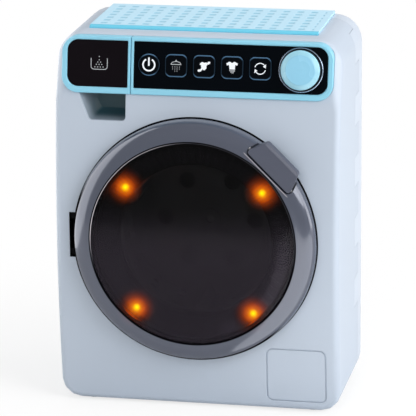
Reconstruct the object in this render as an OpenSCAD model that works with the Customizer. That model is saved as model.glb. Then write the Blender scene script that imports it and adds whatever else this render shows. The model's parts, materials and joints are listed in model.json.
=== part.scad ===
// Toy front-loading washing machine with opening door, sprung handle, sliding drawer,
// five push buttons, a turning knob and a motor-driven perforated drum.
// The origin lies under the middle of the machine, on the floor. Front is -Y.

/* [Housing] */
// Width of the housing
body_w = 210; // [206:1:230]
// Height of the housing without feet and top plate
body_h = 277; // [276:1:300]
// Depth from the foremost line of the front to the back
body_d = 118; // [117:1:140]
// Wall of the moulded shells
wall = 2.5; // [2:0.1:2.8]
// Radius of the bow of the front, seen from the side
bow_r = 797; // [780:1:1200]
// Distance of the bow's foremost line below the middle of the door
bow_drop = 7.4; // [4:0.1:12]
// Radius of the two upper corners
top_r = 20; // [18:0.5:24]
// Radius of the two lower corners
low_r = 15; // [13:1:18]
// Rounding of the front edges at the sides and below
edge_r = 5; // [4:0.5:6]
// Rounding of the upper front edge
brow_r = 12; // [10:0.5:13]
// Rounding of the rear edges
back_r = 9; // [6:0.5:10]

/* [Seam] */
// Distance of the seam from the back
seam_back = 23; // [21:1:25]
// Length of the tongues that the rear cover reaches forward
tongue_l = 18; // [12:1:20]
// Height of one tongue
tongue_h = 22.5; // [18:0.5:26]
// Distance between tongues
tongue_pitch = 46.75; // [44:0.25:48]
// Distance of the uppermost tongue's middle below the top of the housing
tongue_top = 19; // [17:1:22]
// Number of tongues on each side
tongue_n = 5; // [3:1:5]
// Width of the seam
seam_gap = 0.3; // [0.2:0.05:0.5]

/* [Feet and top plate] */
// Height of the feet
foot_h = 2; // [1.5:0.5:4]
// Radius of the feet
foot_r = 7; // [5:0.5:8]
// Distance of the top plate from the sides of the housing
plate_side = 20.65; // [20:0.05:24]
// Distance of the top plate from the back
plate_back = 6; // [5:1:10]
// Distance of the top plate behind the foremost line
plate_front = 34; // [32:1:36]
// Height of the top plate above the housing
plate_up = 2.2; // [1.5:0.1:3]
// Depth of the pocket that holds the top plate
plate_seat = 1.2; // [0.8:0.1:1.5]

/* [Panel] */
// Distance of the light ring round drawer and controls from the sides of the housing
panel_side = 5.5; // [5:0.5:7]
// Distance of the light ring's upper edge below the top of the housing
panel_top = 1.4; // [1:0.1:3]
// Height of the light ring
panel_h = 40.6; // [39:0.1:42]
// Width of the drawer's part of the light ring
drawer_w = 51.1; // [50:0.1:53]
// Width of the ring at its sides
ring_w = 4; // [3:0.1:5]
// Width of the ring at its lower edge
ring_low = 4.5; // [3.5:0.1:5]
// Width of the ring at its upper edge
ring_top_w = 2.6; // [2:0.1:2.8]
// Radius of the ring's outer corners
panel_r = 12; // [10:0.5:14]
// Half the width of the gap at that joint
split_gap = 0.2; // [0.15:0.05:0.3]
// Height of the ring above the front
ring_up = 1.8; // [1.4:0.1:2.4]
// Depth of the ring's rim below the front
ring_down = 4.6; // [4:0.1:5]
// Bevel of the ring's edges
ring_bevel = 0.6; // [0.2:0.1:0.8]
// Height of the black panels above the front
black_up = 1; // [0.6:0.1:1.2]
// Thickness of the black panels
black_t = 2; // [1.6:0.1:2.5]
// Clearance between mouldings that slide into each other
fit_gap = 0.15; // [0.1:0.05:0.3]

/* [Buttons and knob] */
// Height of the row of buttons above the middle of the light ring
button_up = 1.1; // [0:0.1:2]
// Distance of the round button from the joint between drawer and controls
power_in = 13.5; // [12.5:0.1:14.5]
// Radius of the round button
power_r = 8; // [7:0.1:8.4]
// Distance of the first square button from the round button
square_in = 20; // [19.5:0.1:21]
// Distance of the last square button from the knob
square_out = 29.4; // [28.5:0.1:31]
// Land between two square buttons
square_land = 4.1; // [3.8:0.1:6]
// Corner radius of a square button
square_r = 4.3; // [3:0.1:5]
// Travel of the buttons
button_travel = 1.2; // [0.8:0.1:1.4]
// Gap round a button
button_gap = 0.35; // [0.3:0.05:0.5]
// Distance of the knob from the right edge of the light ring
knob_in = 23.5; // [22.5:0.1:25]
// Radius of the knob
knob_r = 14.6; // [13:0.1:14.8]
// Height of the knob above the front
knob_up = 5; // [4:0.5:8]
// Outer radius of the bright ring round the knob
trim_r = 16.2; // [15.6:0.1:16.4]
// Radius of the knob's shaft
knob_shaft_r = 3; // [2.5:0.1:4]

/* [Drawer] */
// Distance of the tray from the left edge of the light ring
tray_in = 7.5; // [6.5:0.5:9]
// Width of the tray
tray_w = 38; // [34:0.5:39]
// Height of the tray's underside above the lower edge of the light ring
tray_up = 6; // [5.5:0.5:8]
// Height of the tray
tray_h = 20; // [16:0.5:21]
// Distance of the tray's end from the back
tray_back = 50; // [46:1:58]
// Wall of the tray
tray_wall = 1.6; // [1.2:0.1:2]
// Travel of the drawer
drawer_travel = 45; // [30:1:48]
// Depth of the finger recess under the drawer
recess_d = 21; // [18:1:26]
// Height of the finger recess below the light ring
recess_h = 20.4; // [18:0.2:22]
// How far the walls of the finger recess draw in towards its bottom
recess_draw = 9; // [4:0.5:10]

/* [Door] */
// Middle of the door, to the right
door_x = -0.6; // [-1:0.1:1]
// Distance of the door ring below the light ring of the panel
door_drop = 15.6; // [14.5:0.1:17]
// Distance of the door ring from the left side of the housing
door_side = 14.4; // [13.8:0.1:15.4]
// Width of the door ring from its rim to the glass
ring_face = 15; // [14.6:0.1:16]
// Fullness of the ring's section: 1 is an ellipse, less is flatter on top
ring_full = 0.8; // [0.7:0.05:1]
// Height and depth of the shadow line under the ring's rim
shadow_gap = 0.9; // [0.5:0.1:1]
// Height of the ring's inner edge above the foremost line
ring_h = 11.2; // [10.5:0.1:11.6]
// Height of the bead round the glass
bead_h = 0.25; // [0.1:0.05:0.4]
// Height of the middle of the glass above the foremost line
door_proud = 13; // [12.2:0.1:14]
// Gap between door and front
door_gap = 0.7; // [0.5:0.1:0.9]
// Thickness of the glass
glass_t = 2.2; // [1.8:0.1:2.6]
// Wall of the door ring
ring_wall = 2.2; // [1.8:0.1:2.4]
// Travel of the door
door_travel = 95; // [80:1:96]
// Distance of the hinge from the left side of the housing
hinge_side = 7.5; // [7:0.1:8]
// Distance of the hinge behind the foremost line
hinge_d = 6.5; // [6.4:0.1:7]
// Radius of the hinge pin
pin_r = 1.5; // [1.2:0.1:1.8]
// Running clearance of pins and shafts
run_gap = 0.08; // [0.05:0.01:0.1]
// Height of the hinge arm
arm_h = 22; // [20:1:22]
// Height of the hinge slot
slot_h = 34; // [32:1:36]

/* [Handle] */
// Direction of the handle seen from the middle of the door
handle_a = 45; // [40:1:50]
// Distance of the handle's inner edge from the rim of the door ring
handle_seat = 11; // [10.6:0.1:11.2]
// Width of the handle
handle_w = 16; // [14:0.1:17]
// Radius of the handle's corners
handle_soft = 2.6; // [1:0.1:4]
// Half length of the inner edge
handle_in = 22.5; // [20:0.5:23]
// Half length of the outer edge
handle_out = 16.5; // [14:0.5:18]
// Height of the handle above the foremost line
handle_up = 11.8; // [11:0.1:12]
// Gap along the handle's inner edge
handle_gap = 1.4; // [1.3:0.1:1.5]
// Travel of the handle in degrees
handle_travel = 12; // [6:1:12]

/* [Drum] */
// Gap between drum and tub
drum_gap = 3; // [2:0.5:6]
// Wall of the drum
drum_wall = 1.6; // [1.4:0.1:2.2]
// Distance of the drum's front edge behind the foremost line
drum_front = 10; // [9.5:0.5:12]
// Gap between the drum's back and the tub
drum_back_gap = 6; // [5:0.5:12]
// Width of the drum's front lip
mouth_lip = 6; // [5:0.5:11]
// Radius of a hole in the drum
hole_r = 2.5; // [2:0.1:3]
// Holes in one row round the drum
hole_n = 18; // [12:3:18]
// Rows of holes
row_n = 4; // [3:1:4]
// Radius of the drum shaft
shaft_r = 3; // [2.5:0.1:3.5]
// Module of the gears
gear_m = 1.25; // [1:0.05:1.25]
// Teeth of the drum gear
gear_n = 48; // [40:1:48]
// Teeth of the motor pinion
pinion_n = 16; // [14:1:18]
// Width of the gears
gear_w = 5; // [4:0.5:6]

/* [Tub] */
// Distance of the tub's wall inside the edge of the door opening
tub_in = 9; // [7:0.5:9.5]
// Wall of the tub
tub_wall = 2; // [1.6:0.1:2.4]
// Distance of the tub's rear wall from the back
tub_back = 52; // [50:0.5:54]
// Gap between the lamp ring and the edge of the door opening
lamp_ring_gap = 0.8; // [0.6:0.1:1.5]
// How far the lamp ring covers the drum, inside the tub's wall
lamp_ring_lap = 7; // [6:0.1:7.5]
// Height of the lamp ring above the foremost line
lamp_ring_h = 2.5; // [1.5:0.1:2.8]
// How far the door ring laps over the edge of the door opening
door_lap = 17; // [16.6:0.1:17.2]
// Rays moulded on the lamp ring
ray_n = 72; // [36:12:96]
// Radius of a lamp
lamp_r = 2.4; // [2:0.1:2.6]

/* [Battery box] */
// Radius of a cell
cell_r = 7.1; // [7:0.05:7.2]
// Length of a cell
cell_l = 50; // [49:0.5:50.5]
// Number of cells
cell_n = 3; // [2:1:3]
// Underside of the battery box above the housing's underside
box_z = 12; // [10:1:14]

/* [Hidden] */
$fn = 64;
eps = 0.01;
base = foot_h;
face_y = (door_proud - body_d) / 2;
top_z = base + body_h;
back_y = face_y + body_d;
side = body_w / 2;

panel_x0 = -side + panel_side;
panel_x1 = side - panel_side;
panel_z1 = body_h - panel_top;
panel_z0 = panel_z1 - panel_h;
split_x = panel_x0 + drawer_w;
door_r = side + door_x - door_side;
door_z = panel_z0 - door_drop - door_r;
dz = base + door_z;
bow_c = dz - bow_drop;
seam_d = body_d - seam_back;
plate_w = body_w - 2 * plate_side;
plate_d = body_d - plate_front - plate_back;
hull_fn = 32;
tongue_in = 15;
back_in = wall + 2.8;
brow_in = wall + 4.5;
brow_step = 21;
cut_in = 40;
cut_out = 20;

// Distance of the bow behind the foremost line at a height, set in by d
function bow(z, d = 0) = bow_r - sqrt(pow(bow_r - d, 2) - pow(z - bow_c, 2));

// Lean of the front at the middle of the panel
panel_mid = base + (panel_z0 + panel_z1) / 2;
lean = asin((panel_mid - bow_c) / bow_r);

// Sections on which the rounded outline is built
corner_steps = 6;
side_steps = 8;

button_zz = panel_mid + button_up;
knob_x = panel_x1 - knob_in;
power_x = split_x + power_in;
square_x = power_x + square_in;
square_n = 4;
square_pitch = (knob_x - square_out - square_x) / (square_n - 1);
square_s = square_pitch - square_land;
buttons_x = [for (i = [0:square_n - 1]) square_x + i * square_pitch];
trim_in = trim_r - 0.7;
ledge = 1.3;

// Drawer and the finger recess under it
tray_x0 = panel_x0 + tray_in;
tray_x1 = tray_x0 + tray_w;
tray_z0 = panel_z0 + tray_up;
tray_end = body_d - tray_back;
recess_z = panel_z0 - recess_h;
recess_top = panel_x0 + 10.2;
recess_low = recess_top + 9.9;
recess_wall = 1.8;

glass_r = door_r - ring_face;
open_r = door_r - door_lap;
tub_r = open_r - tub_in;
tub_end = body_d - tub_back;
lamp_ring_r = open_r - lamp_ring_gap;
lamp_ring_in = tub_r - lamp_ring_lap;
drum_r = tub_r - drum_gap;
drum_l = tub_end - drum_back_gap - drum_front;
mouth_r = drum_r - mouth_lip;

hinge_x = -side + hinge_side;
hinge_y = face_y + hinge_d;
arc_in = 9.8;
arc_out = 12.4;
slot_x0 = hinge_x + 3.3;
slot_x1 = hinge_x + arc_out + 0.8;
lug_h = 5;
lug_gap = 0.3;
knuckle_r = 3.4;
hinge_half = arm_h / 2 + lug_gap + lug_h;
hinge_seat = wall + bow(dz + hinge_half) + 0.15;

handle_r0 = door_r - handle_seat;
handle_r1 = handle_r0 + handle_w;
handle_low = 4.3;
handle_pin_u = handle_r0 + 2;
handle_pin_h = 6.2;
handle_pin_r = 1.1;
handle_block = 2.2;
pocket_floor = 3.5;
tongue_u0 = handle_r0 + 5;
tongue_u1 = tongue_u0 + 2.4;
tongue_half = 4;
tongue_down = 8;
slot_u0 = tongue_u0 - 0.7;
slot_u1 = tongue_u1 + 3;

frame_in = glass_r - 2.3;
frame_out = door_r - 4.8;
frame_t = 2;
flange_r = glass_r + 1.3;
flange_h0 = 6.4;
lip_r = flange_r + fit_gap;
door_screws_a = [0, 90, 150, 210, 270];
door_screw_u = flange_r + 5.2;

tub_flange_r = door_r - 10;
tub_flange_d = wall + bow(dz + tub_flange_r) + 0.3;
tub_flange_t = 2;
gear_d0 = tub_end + 6;
bracket_d = gear_d0 + gear_w + 3;
bracket_t = 2;
bracket_x = tub_r - 20;
bracket_z = tub_r - 24;
hub_r = 8;
bush_r = 5;
gear_c = gear_m * (gear_n + pinion_n) / 2;
motor_a = 0;
motor_r = 10;
motor_l = 24;
motor_shaft_r = 1;

lamp_side = lamp_ring_r - 21.8;
lamp_side_low = lamp_ring_r - 28.7;
lamp_up = lamp_ring_r - 33.7;
lamp_down = 19.7 - lamp_ring_r;
lamps_at = [
    [-lamp_side, lamp_up],
    [lamp_side, lamp_up],
    [-lamp_side_low, lamp_down],
    [lamp_side_low, lamp_down]
];

boss_x = side - 8.5;
boss_r = 3.6;
boss_end = seam_d - 25;
bosses_z = [low_r + 7, door_z - 37.4, door_z + 48.6, panel_z0 - 9];
screw_r = 1.4;
screw_head_r = 2.8;

cell_pitch = 2 * cell_r + 0.8;
box_w = cell_n * cell_pitch + 3;
box_h = cell_l + 8;
box_t = 1.6;
cell_room = 1.7;
box_d0 = body_d - wall - box_t - 2 * cell_r - cell_room;
cover_t = 1.6;

foot_front = 25;
foot_back = 16;
foot_side = 22;
groove_side = 9.5;
groove_w = 44.5;
groove_z = 7;
groove_h = 42;
groove_r = 5;
groove_t = 0.9;

speaker_z = top_z - 77;
speaker_r = 20;
board_t = 1.6;

// Frames and outlines shared by the pieces

// Local z points straight out of the door, local y points up
module door_frame() translate([door_x, face_y, dz]) rotate([90, 0, 0]) children();

// Local z points out of the leaning panel, local y points up along it
module panel_frame(x, z) translate([x, face_y + bow(z), z]) rotate([90 - lean, 0, 0]) children();

// Local x runs outwards from the middle of the door through the handle, local z points out
module handle_frame() door_frame() rotate([0, 0, handle_a]) children();

// A layer between two heights above the leaning panel
module panel_layer(h0, h1)
    panel_frame(0, panel_mid)
        translate([-body_w, -body_w / 3, h0]) cube([2 * body_w, 2 * body_w / 3, h1 - h0]);

// A rectangle with its own corner radius on the left and on the right
module soft_plan(x0, x1, z0, z1, rl, rr) {
    translate([x0 + rl, z0]) square([x1 - x0 - rl - rr, z1 - z0]);
    translate([x0, z0 + rl]) square([rl + eps, z1 - z0 - 2 * rl]);
    translate([x1 - rr - eps, z0 + rr]) square([rr + eps, z1 - z0 - 2 * rr]);
    for (z = [z0, z1]) {
        s = z == z0 ? 1 : -1;
        translate([x0 + rl, z + s * rl]) circle(r = rl);
        translate([x1 - rr, z + s * rr]) circle(r = rr);
    }
}

// An outline in the plane of the front, carried through the front along Y
module through_front(depth = cut_in)
    translate([0, face_y + depth, 0]) rotate([90, 0, 0]) linear_extrude(depth + cut_out) children();

// A slice of the same outline at a depth behind the foremost line
module front_slice(depth)
    translate([0, face_y + depth, 0]) rotate([90, 0, 0]) linear_extrude(eps) children();

// A slab of the panel with a soft outline and given heights above the front
module panel_piece(x0, x1, z0, z1, rl, rr, h0, h1)
    intersection() {
        through_front() soft_plan(x0, x1, z0, z1, rl, rr);
        panel_layer(h0, h1);
    }

// A polygon's corner i, rounded to radius r; the polygon runs anticlockwise
function soft_corner(p, i, r) =
    let (n = len(p), q = p[i], u = p[(i + n - 1) % n] - q, v = p[(i + 1) % n] - q,
        half = acos(u * v / norm(u) / norm(v)) / 2,
        m = q + (u / norm(u) + v / norm(v)) / norm(u / norm(u) + v / norm(v)) * r / sin(half),
        a0 = atan2(-u[0], u[1]) + 180)
    [for (k = [0:4]) let (a = a0 + (180 - 2 * half) * k / 4) m + r * [cos(a), sin(a)]];

function soft_polygon(p, r) = [for (i = [0:len(p) - 1]) each soft_corner(p, i, r)];

// Half of the rounded outline of the housing as [x, z, radius], each radius being inset
function half_outline(r_low, r_top) = concat(
    [for (i = [0:corner_steps / 2])
        let (a = -90 + 180 * i / corner_steps)
        [side - low_r + (low_r - r_low) * cos(a), base + low_r + (low_r - r_low) * sin(a), r_low]],
    [for (i = [1:side_steps - 1])
        [side - r_low, base + low_r + (body_h - low_r - top_r) * i / side_steps, r_low]],
    [for (i = [0:corner_steps])
        let (a = 90 * i / corner_steps)
        [side - top_r + (top_r - r_top) * cos(a), top_z - top_r + (top_r - r_top) * sin(a), r_top]]
);

// The whole closed outer form of the housing
module outer_form()
    hull() {
        for (s = [-1, 1], p = half_outline(edge_r, brow_r))
            translate([s * p[0], face_y + bow(p[1], p[2]), p[1]]) sphere(r = p[2], $fn = hull_fn);
        for (s = [-1, 1], p = half_outline(back_r, back_r))
            if (abs(p[0]) < side - back_r - eps || p[1] < base + low_r + eps || p[1] > top_z - top_r - eps)
                translate([s * p[0], back_y - back_r, p[1]]) sphere(r = back_r, $fn = hull_fn);
    }

// The cavity; it steps in behind the rounded rear edges and under the rounded upper front edge
module inner_form()
    difference() {
        intersection() {
            union() {
                through_front(body_d - back_r) inner_plan(wall);
                through_front(body_d - wall) inner_plan(back_in);
            }
            rotate([90, 0, 90]) translate([0, 0, -side]) linear_extrude(body_w) inner_profile();
        }
        difference() {
            translate([-side, face_y - 1, top_z - top_r - brow_step])
                cube([body_w, 2 * brow_r + 1, top_r + brow_step + 1]);
            through_front() inner_plan(brow_in);
        }
    }

// A quarter of the outline, with its corner at radius r less the inset g
function inner_corner(x, z, r, a0, g) =
    [for (i = [0:corner_steps]) let (a = a0 + 90 * i / corner_steps) [x + (r - g) * cos(a), z + (r - g) * sin(a)]];

// Outline of the housing, set in by g
module inner_plan(g)
    polygon(concat(
        inner_corner(side - low_r, base + low_r, low_r, -90, g),
        inner_corner(side - top_r, top_z - top_r, top_r, 0, g),
        inner_corner(-side + top_r, top_z - top_r, top_r, 90, g),
        inner_corner(-side + low_r, base + low_r, low_r, 180, g)
    ));

module inner_profile()
    difference() {
        translate([face_y, base]) square([body_d, body_h]);
        difference() {
            translate([face_y - eps, base - eps]) square([brow_r + bow(top_z), body_h + 2 * eps]);
            translate([face_y + bow_r, bow_c]) circle(r = bow_r - wall, $fn = 720);
        }
        translate([face_y + bow(top_z - brow_r, brow_r), top_z - brow_r])
            difference() {
                translate([-brow_r - bow(top_z), 0]) square([brow_r + bow(top_z), brow_r + eps]);
                circle(r = brow_r - wall);
            }
    }

function tongue_mid(i) = top_z - tongue_top - i * tongue_pitch;

// What belongs to the rear cover, grown by g on its front side
module rear_region(g = 0) {
    translate([-side - 1, face_y + seam_d - g, base - 1]) cube([body_w + 2, body_d, body_h + 2]);
    for (s = [-1, 1], i = [0:tongue_n - 1])
        translate([s * side - tongue_in, face_y + seam_d - tongue_l - g, tongue_mid(i) - tongue_h / 2 - g])
            cube([2 * tongue_in, tongue_l + 1, tongue_h + 2 * g]);
}

// The finger recess, grown by g: its left wall slants, and it rounds in towards its bottom
module recess_form(g = 0)
    hull()
        for (a = [0, 25, 45, 60, 75])
            let (draw = recess_draw * (1 - cos(a)), depth = (recess_d + g) * sin(a) / sin(75))
            front_slice(depth == 0 ? -g : depth)
                polygon(soft_polygon(recess_plan(g, draw), 3 + g));

function recess_plan(g, draw) =
    let (x1 = split_x - 3.6 + g, z1 = base + panel_z0 + 4 + g, z0 = base + recess_z - g)
    [[recess_top - g + draw, z1], [recess_low - g + draw, z0 + draw], [x1, z0 + draw], [x1, z1]];

// Housing

module front_housing() color([0.74, 0.79, 0.84])
    difference() {
        union() {
            difference() {
                outer_form();
                inner_form();
                rear_region(seam_gap);
            }
            intersection() {
                outer_form();
                union() {
                    recess_form(recess_wall);
                    case_bosses();
                }
            }
        }
        recess_form();
        panel_openings();
        door_openings();
        groove();
        plate_pocket();
        for (s = [-1, 1], z = bosses_z)
            translate([s * boss_x, face_y + boss_end - 12, base + z]) rotate([-90, 0, 0]) cylinder(r = screw_r, h = 20);
        for (p = feet_at()) translate([p[0], p[1], base - 1]) cylinder(r = 2, h = 2);
    }

// Pocket for the top plate, cut in both halves of the housing
module plate_pocket()
    translate([-plate_w / 2 - fit_gap, face_y + plate_front - fit_gap, top_z - plate_seat])
        cube([plate_w + 2 * fit_gap, plate_d + 2 * fit_gap, plate_seat + 5]);

module case_bosses()
    for (s = [-1, 1], z = bosses_z)
        translate([s * boss_x, face_y + 1, base + z]) rotate([-90, 0, 0]) cylinder(r = boss_r, h = boss_end - 1);

// Openings of the control panel and of the drawer
module panel_openings() {
    panel_piece(split_x + split_gap - fit_gap, panel_x1 + fit_gap, base + panel_z0 - fit_gap,
        base + panel_z1 + fit_gap, 0.5, panel_r + fit_gap, -ring_down - 0.4, cut_out);
    panel_piece(panel_x0 - fit_gap, split_x + 1, base + panel_z0 - fit_gap,
        base + panel_z1 + fit_gap, panel_r + fit_gap, 0.5, -ring_down - 0.4, cut_out);
}

// Opening, hinge slot and latch slot of the door
module door_openings() {
    door_frame() translate([0, 0, -cut_out]) cylinder(r = open_r, h = 2 * cut_out, $fn = 120);
    translate([slot_x0, face_y - 5, dz - slot_h / 2]) cube([slot_x1 - slot_x0, 12, slot_h]);
    handle_frame() translate([slot_u0, -tongue_half - 1, -12]) cube([slot_u1 - slot_u0, 2 * tongue_half + 2, 24]);
}

// Shallow square line low on the right
module groove()
    intersection() {
        through_front() difference() {
            groove_plan(0);
            groove_plan(groove_t);
        }
        difference() {
            translate([0, face_y - cut_out, base]) cube([side, 2 * cut_out, groove_z + groove_h + 1]);
            translate([-1, face_y + bow_r, bow_c]) rotate([0, 90, 0]) cylinder(r = bow_r - 0.8, h = side + 2, $fn = 720);
        }
    }

module groove_plan(g)
    soft_plan(side - groove_side - groove_w + g, side - groove_side - g, base + groove_z + g,
        base + groove_z + groove_h - g, groove_r - g, groove_r - g);

function feet_at() =
    [for (s = [-1, 1], y = [foot_front, body_d - foot_back]) [s * (side - foot_side), face_y + y]];

module feet() color([0.25, 0.26, 0.28])
    for (p = feet_at()) translate([p[0], p[1], 0]) {
        cylinder(r = foot_r, h = base);
        cylinder(r = 1.9, h = base + 0.9);
    }

module rear_cover() color([0.86, 0.92, 0.97])
    difference() {
        union() {
            difference() {
                intersection() {
                    outer_form();
                    rear_region();
                }
                inner_form();
            }
            intersection() {
                outer_form();
                cover_posts();
            }
        }
        screw_holes();
        speaker_slots();
        battery_opening();
        plate_pocket();
        for (p = feet_at()) translate([p[0], p[1], base - 1]) cylinder(r = 2, h = 2);
    }

// Posts that meet the bosses of the front housing, and the boss of the battery cover's screw
module cover_posts() {
    for (s = [-1, 1], z = bosses_z)
        translate([s * boss_x, face_y + boss_end, base + z]) rotate([-90, 0, 0]) cylinder(r = 4.4, h = body_d - boss_end);
    for (s = [-1, 1])
        translate([sound_x, back_y - 8, sound_z + s * 14]) rotate([-90, 0, 0]) cylinder(r = 2.5, h = 7);
}

module screw_holes()
    for (s = [-1, 1], z = bosses_z)
        translate([s * boss_x, face_y + boss_end - 1, base + z]) rotate([-90, 0, 0]) {
            cylinder(r = screw_r + 0.3, h = body_d);
            translate([0, 0, 9]) cylinder(r = screw_head_r + 0.4, h = body_d);
        }

module speaker_slots()
    for (i = [-3:3])
        let (w = sqrt(pow(speaker_r - 3, 2) - pow(i * 5, 2)))
        translate([-w, back_y - wall - 1, speaker_z + i * 5 - 1]) cube([2 * w, wall + 2, 2]);

module battery_opening() {
    translate([-box_w / 2 + box_t, back_y - wall - 1, base + box_z + box_t])
        cube([box_w - 2 * box_t, wall + 2, box_h - 2 * box_t]);
    translate([-box_w / 2 - 3, back_y - cover_t - fit_gap, base + box_z - 3])
        cube([box_w + 6, 5, box_h + 6 + 6]);
    translate([0, back_y - wall - 1, base + box_z + box_h + 4]) rotate([-90, 0, 0]) cylinder(r = screw_r, h = 5);
}

module top_plate() color([0.77, 0.91, 0.98])
    translate([-plate_w / 2, face_y + plate_front, top_z - plate_seat])
        rotate([90, 0, 90]) linear_extrude(plate_w)
            polygon([[0, 0], [plate_d, 0], [plate_d, plate_seat + plate_up - 1], [plate_d - 1, plate_seat + plate_up],
                [2.4, plate_seat + plate_up], [0.6, plate_seat + plate_up - 1], [0, plate_seat + 0.4]]);

// Control panel

// The part of the ring's window that lies on the side of the controls, set in by g
module control_window(g, h0, h1)
    panel_piece(split_x + split_gap + ring_w / 2 + g, panel_x1 - ring_w - g, base + panel_z0 + ring_low + g,
        base + panel_z1 - ring_top_w - g, 0.8, panel_r - ring_w - g, h0, h1);

// The part of the window that lies on the side of the drawer
module drawer_window(g, h0, h1)
    panel_piece(panel_x0 + ring_w + g, split_x - split_gap - ring_w / 2 - g, base + panel_z0 + ring_low + g,
        base + panel_z1 - ring_top_w - g, panel_r - ring_w - g, 0.8, h0, h1);

// A slab of the light ring with a bevel along its upper outer edge
module ring_slab(x0, x1, rl, rr) {
    z0 = base + panel_z0;
    z1 = base + panel_z1;
    b = ring_bevel;
    panel_piece(x0, x1, z0, z1, rl, rr, -ring_down, ring_up - b);
    hull() {
        panel_piece(x0, x1, z0, z1, rl, rr, ring_up - b - eps, ring_up - b);
        panel_piece(x0 + b, x1 - b, z0 + b, z1 - b, max(rl - b, 0.1), max(rr - b, 0.1), ring_up - eps, ring_up);
    }
}

module panel_bezel() color([0.58, 0.84, 0.94])
    difference() {
        ring_slab(split_x + split_gap, panel_x1, 0.5, panel_r);
        control_window(0, black_up - black_t, cut_out);
        hull() {
            control_window(0, ring_up - ring_bevel, ring_up);
            control_window(-ring_bevel, ring_up, ring_up + eps);
        }
        control_window(ledge, -cut_out, cut_out);
    }

module fascia_holes(g) {
    panel_frame(power_x, button_zz) translate([0, 0, -10]) cylinder(r = power_r + g, h = 20);
    for (x = buttons_x) square_prism(x, square_s / 2 + g, square_r + g, -10, 10);
}

// A square with soft corners, standing on the panel
module square_prism(x, half, r, h0, h1)
    panel_frame(x, button_zz) translate([0, 0, h0]) linear_extrude(h1 - h0)
        soft_plan(-half, half, -half, half, r, r);

module control_fascia() color([0.06, 0.06, 0.09])
    difference() {
        control_window(fit_gap, black_up - black_t, black_up);
        fascia_holes(button_gap);
        panel_frame(knob_x, button_zz) translate([0, 0, -10]) cylinder(r = knob_shaft_r + run_gap + 0.1, h = 20);
        panel_frame(knob_x, button_zz) translate([0, 0, black_up - 0.8]) cylinder(r = trim_r + 0.05, h = 5);
    }

module knob_ring() color([0.75, 0.8, 0.86])
    panel_frame(knob_x, button_zz)
        rotate_extrude() polygon([[trim_in - 0.6, black_up - 0.8], [trim_r, black_up - 0.8], [trim_r, black_up + 0.3],
            [trim_r - 0.3, black_up + 0.6], [trim_in, black_up + 0.6], [trim_in - 0.6, black_up]]);

module knob() color([0.64, 0.86, 0.93])
    panel_frame(knob_x, button_zz)
        rotate_extrude() polygon(concat(
            [[0, 1.6], [knob_shaft_r + 1, 1.6], [knob_shaft_r + 1, 0.5], [knob_r - 0.5, 0.5], [knob_r, 1]],
            [for (i = [0:6])
                let (a = 15 * i)
                [knob_r - 1.8 + 1.8 * cos(a), knob_up - 1.4 + 1 * sin(a)]],
            [[0, knob_up]]));

module knob_shaft() color([0.8, 0.8, 0.82])
    panel_frame(knob_x, button_zz) translate([0, 0, -10.4]) cylinder(r = knob_shaft_r, h = 12);

module knob_encoder() color([0.2, 0.3, 0.25])
    panel_frame(knob_x, button_zz) difference() {
        translate([-7, -7, -13]) cube([14, 14, 7.5]);
        translate([0, 0, -10.6]) cylinder(r = knob_shaft_r + run_gap, h = 20);
    }

// A button: cap, flange behind the fascia and stem towards its switch
flange_top = black_up - black_t - 0.2;
stem_end = -6.6;

module power_button() color([0.1, 0.1, 0.14])
    panel_frame(power_x, button_zz)
        rotate_extrude() polygon([[0, stem_end], [2, stem_end], [2, flange_top - 1.4], [power_r + 1.2, flange_top - 1.4],
            [power_r + 1.2, flange_top], [power_r, flange_top], [power_r, black_up + 0.3], [power_r - 0.4, black_up + 0.7],
            [0, black_up + 0.7]]);

module square_button(i) color([0.1, 0.1, 0.14]) {
    square_prism(buttons_x[i], square_s / 2 + 1.2, square_r + 1.2, flange_top - 1.4, flange_top);
    square_prism(buttons_x[i], square_s / 2, square_r, flange_top - eps, black_up + 0.4);
    square_prism(buttons_x[i], square_s / 2 - 0.4, square_r - 0.4, black_up + 0.3, black_up + 0.7);
    panel_frame(buttons_x[i], button_zz) translate([0, 0, stem_end]) cylinder(r = 2, h = -stem_end + flange_top - 1);
}

module rinse_button() square_button(0);
module spin_button() square_button(1);
module dry_button() square_button(2);
module cycle_button() square_button(3);

board_h = -13;
switch_top = stem_end - button_travel - 0.15;
switches_x = concat([power_x], buttons_x);
board_posts = [[split_x + 5.8, 9.5], [60, 8]];

module control_board() color([0.15, 0.4, 0.25]) {
    panel_frame(0, button_zz)
        translate([split_x + 4, -11, board_h - board_t])
            cube([panel_x1 - split_x - 13, 22, board_t]);
    for (p = board_posts)
        panel_frame(p[0], button_zz)
            translate([0, p[1], board_h])
                cylinder(r = 1.6, h = black_up - black_t - board_h);
}

module button_switches() color([0.2, 0.2, 0.22])
    for (x = switches_x)
        panel_frame(x, button_zz) {
            translate([-3, -3, board_h]) cube([6, 6, 3.5]);
            translate([0, 0, board_h + 3.4]) cylinder(r = 1.5, h = switch_top - board_h - 3.4);
        }

// Drawer

module drawer_front() color([0.58, 0.84, 0.94])
    difference() {
        ring_slab(panel_x0, split_x - split_gap, panel_r, 0.5);
        drawer_window(0, black_up - black_t, cut_out);
        hull() {
            drawer_window(0, ring_up - ring_bevel, ring_up);
            drawer_window(-ring_bevel, ring_up, ring_up + eps);
        }
    }

module drawer_panel() color([0.12, 0.1, 0.12])
    drawer_window(fit_gap, black_up - black_t, black_up);

module drawer_tray() color([0.9, 0.93, 0.95])
    difference() {
        translate([tray_x0, face_y, base + tray_z0]) cube([tray_x1 - tray_x0, tray_end, tray_h]);
        translate([tray_x0 + tray_wall, face_y + tray_start(), base + tray_z0 + tray_wall])
            cube([tray_w - 2 * tray_wall, tray_end - tray_wall - tray_start(), tray_h]);
        panel_layer(-ring_down, 60);
    }

// Depth at which the hollow of the tray starts
function tray_start() = bow(base + tray_z0 + tray_h) + ring_down + tray_wall + 1;

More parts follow.
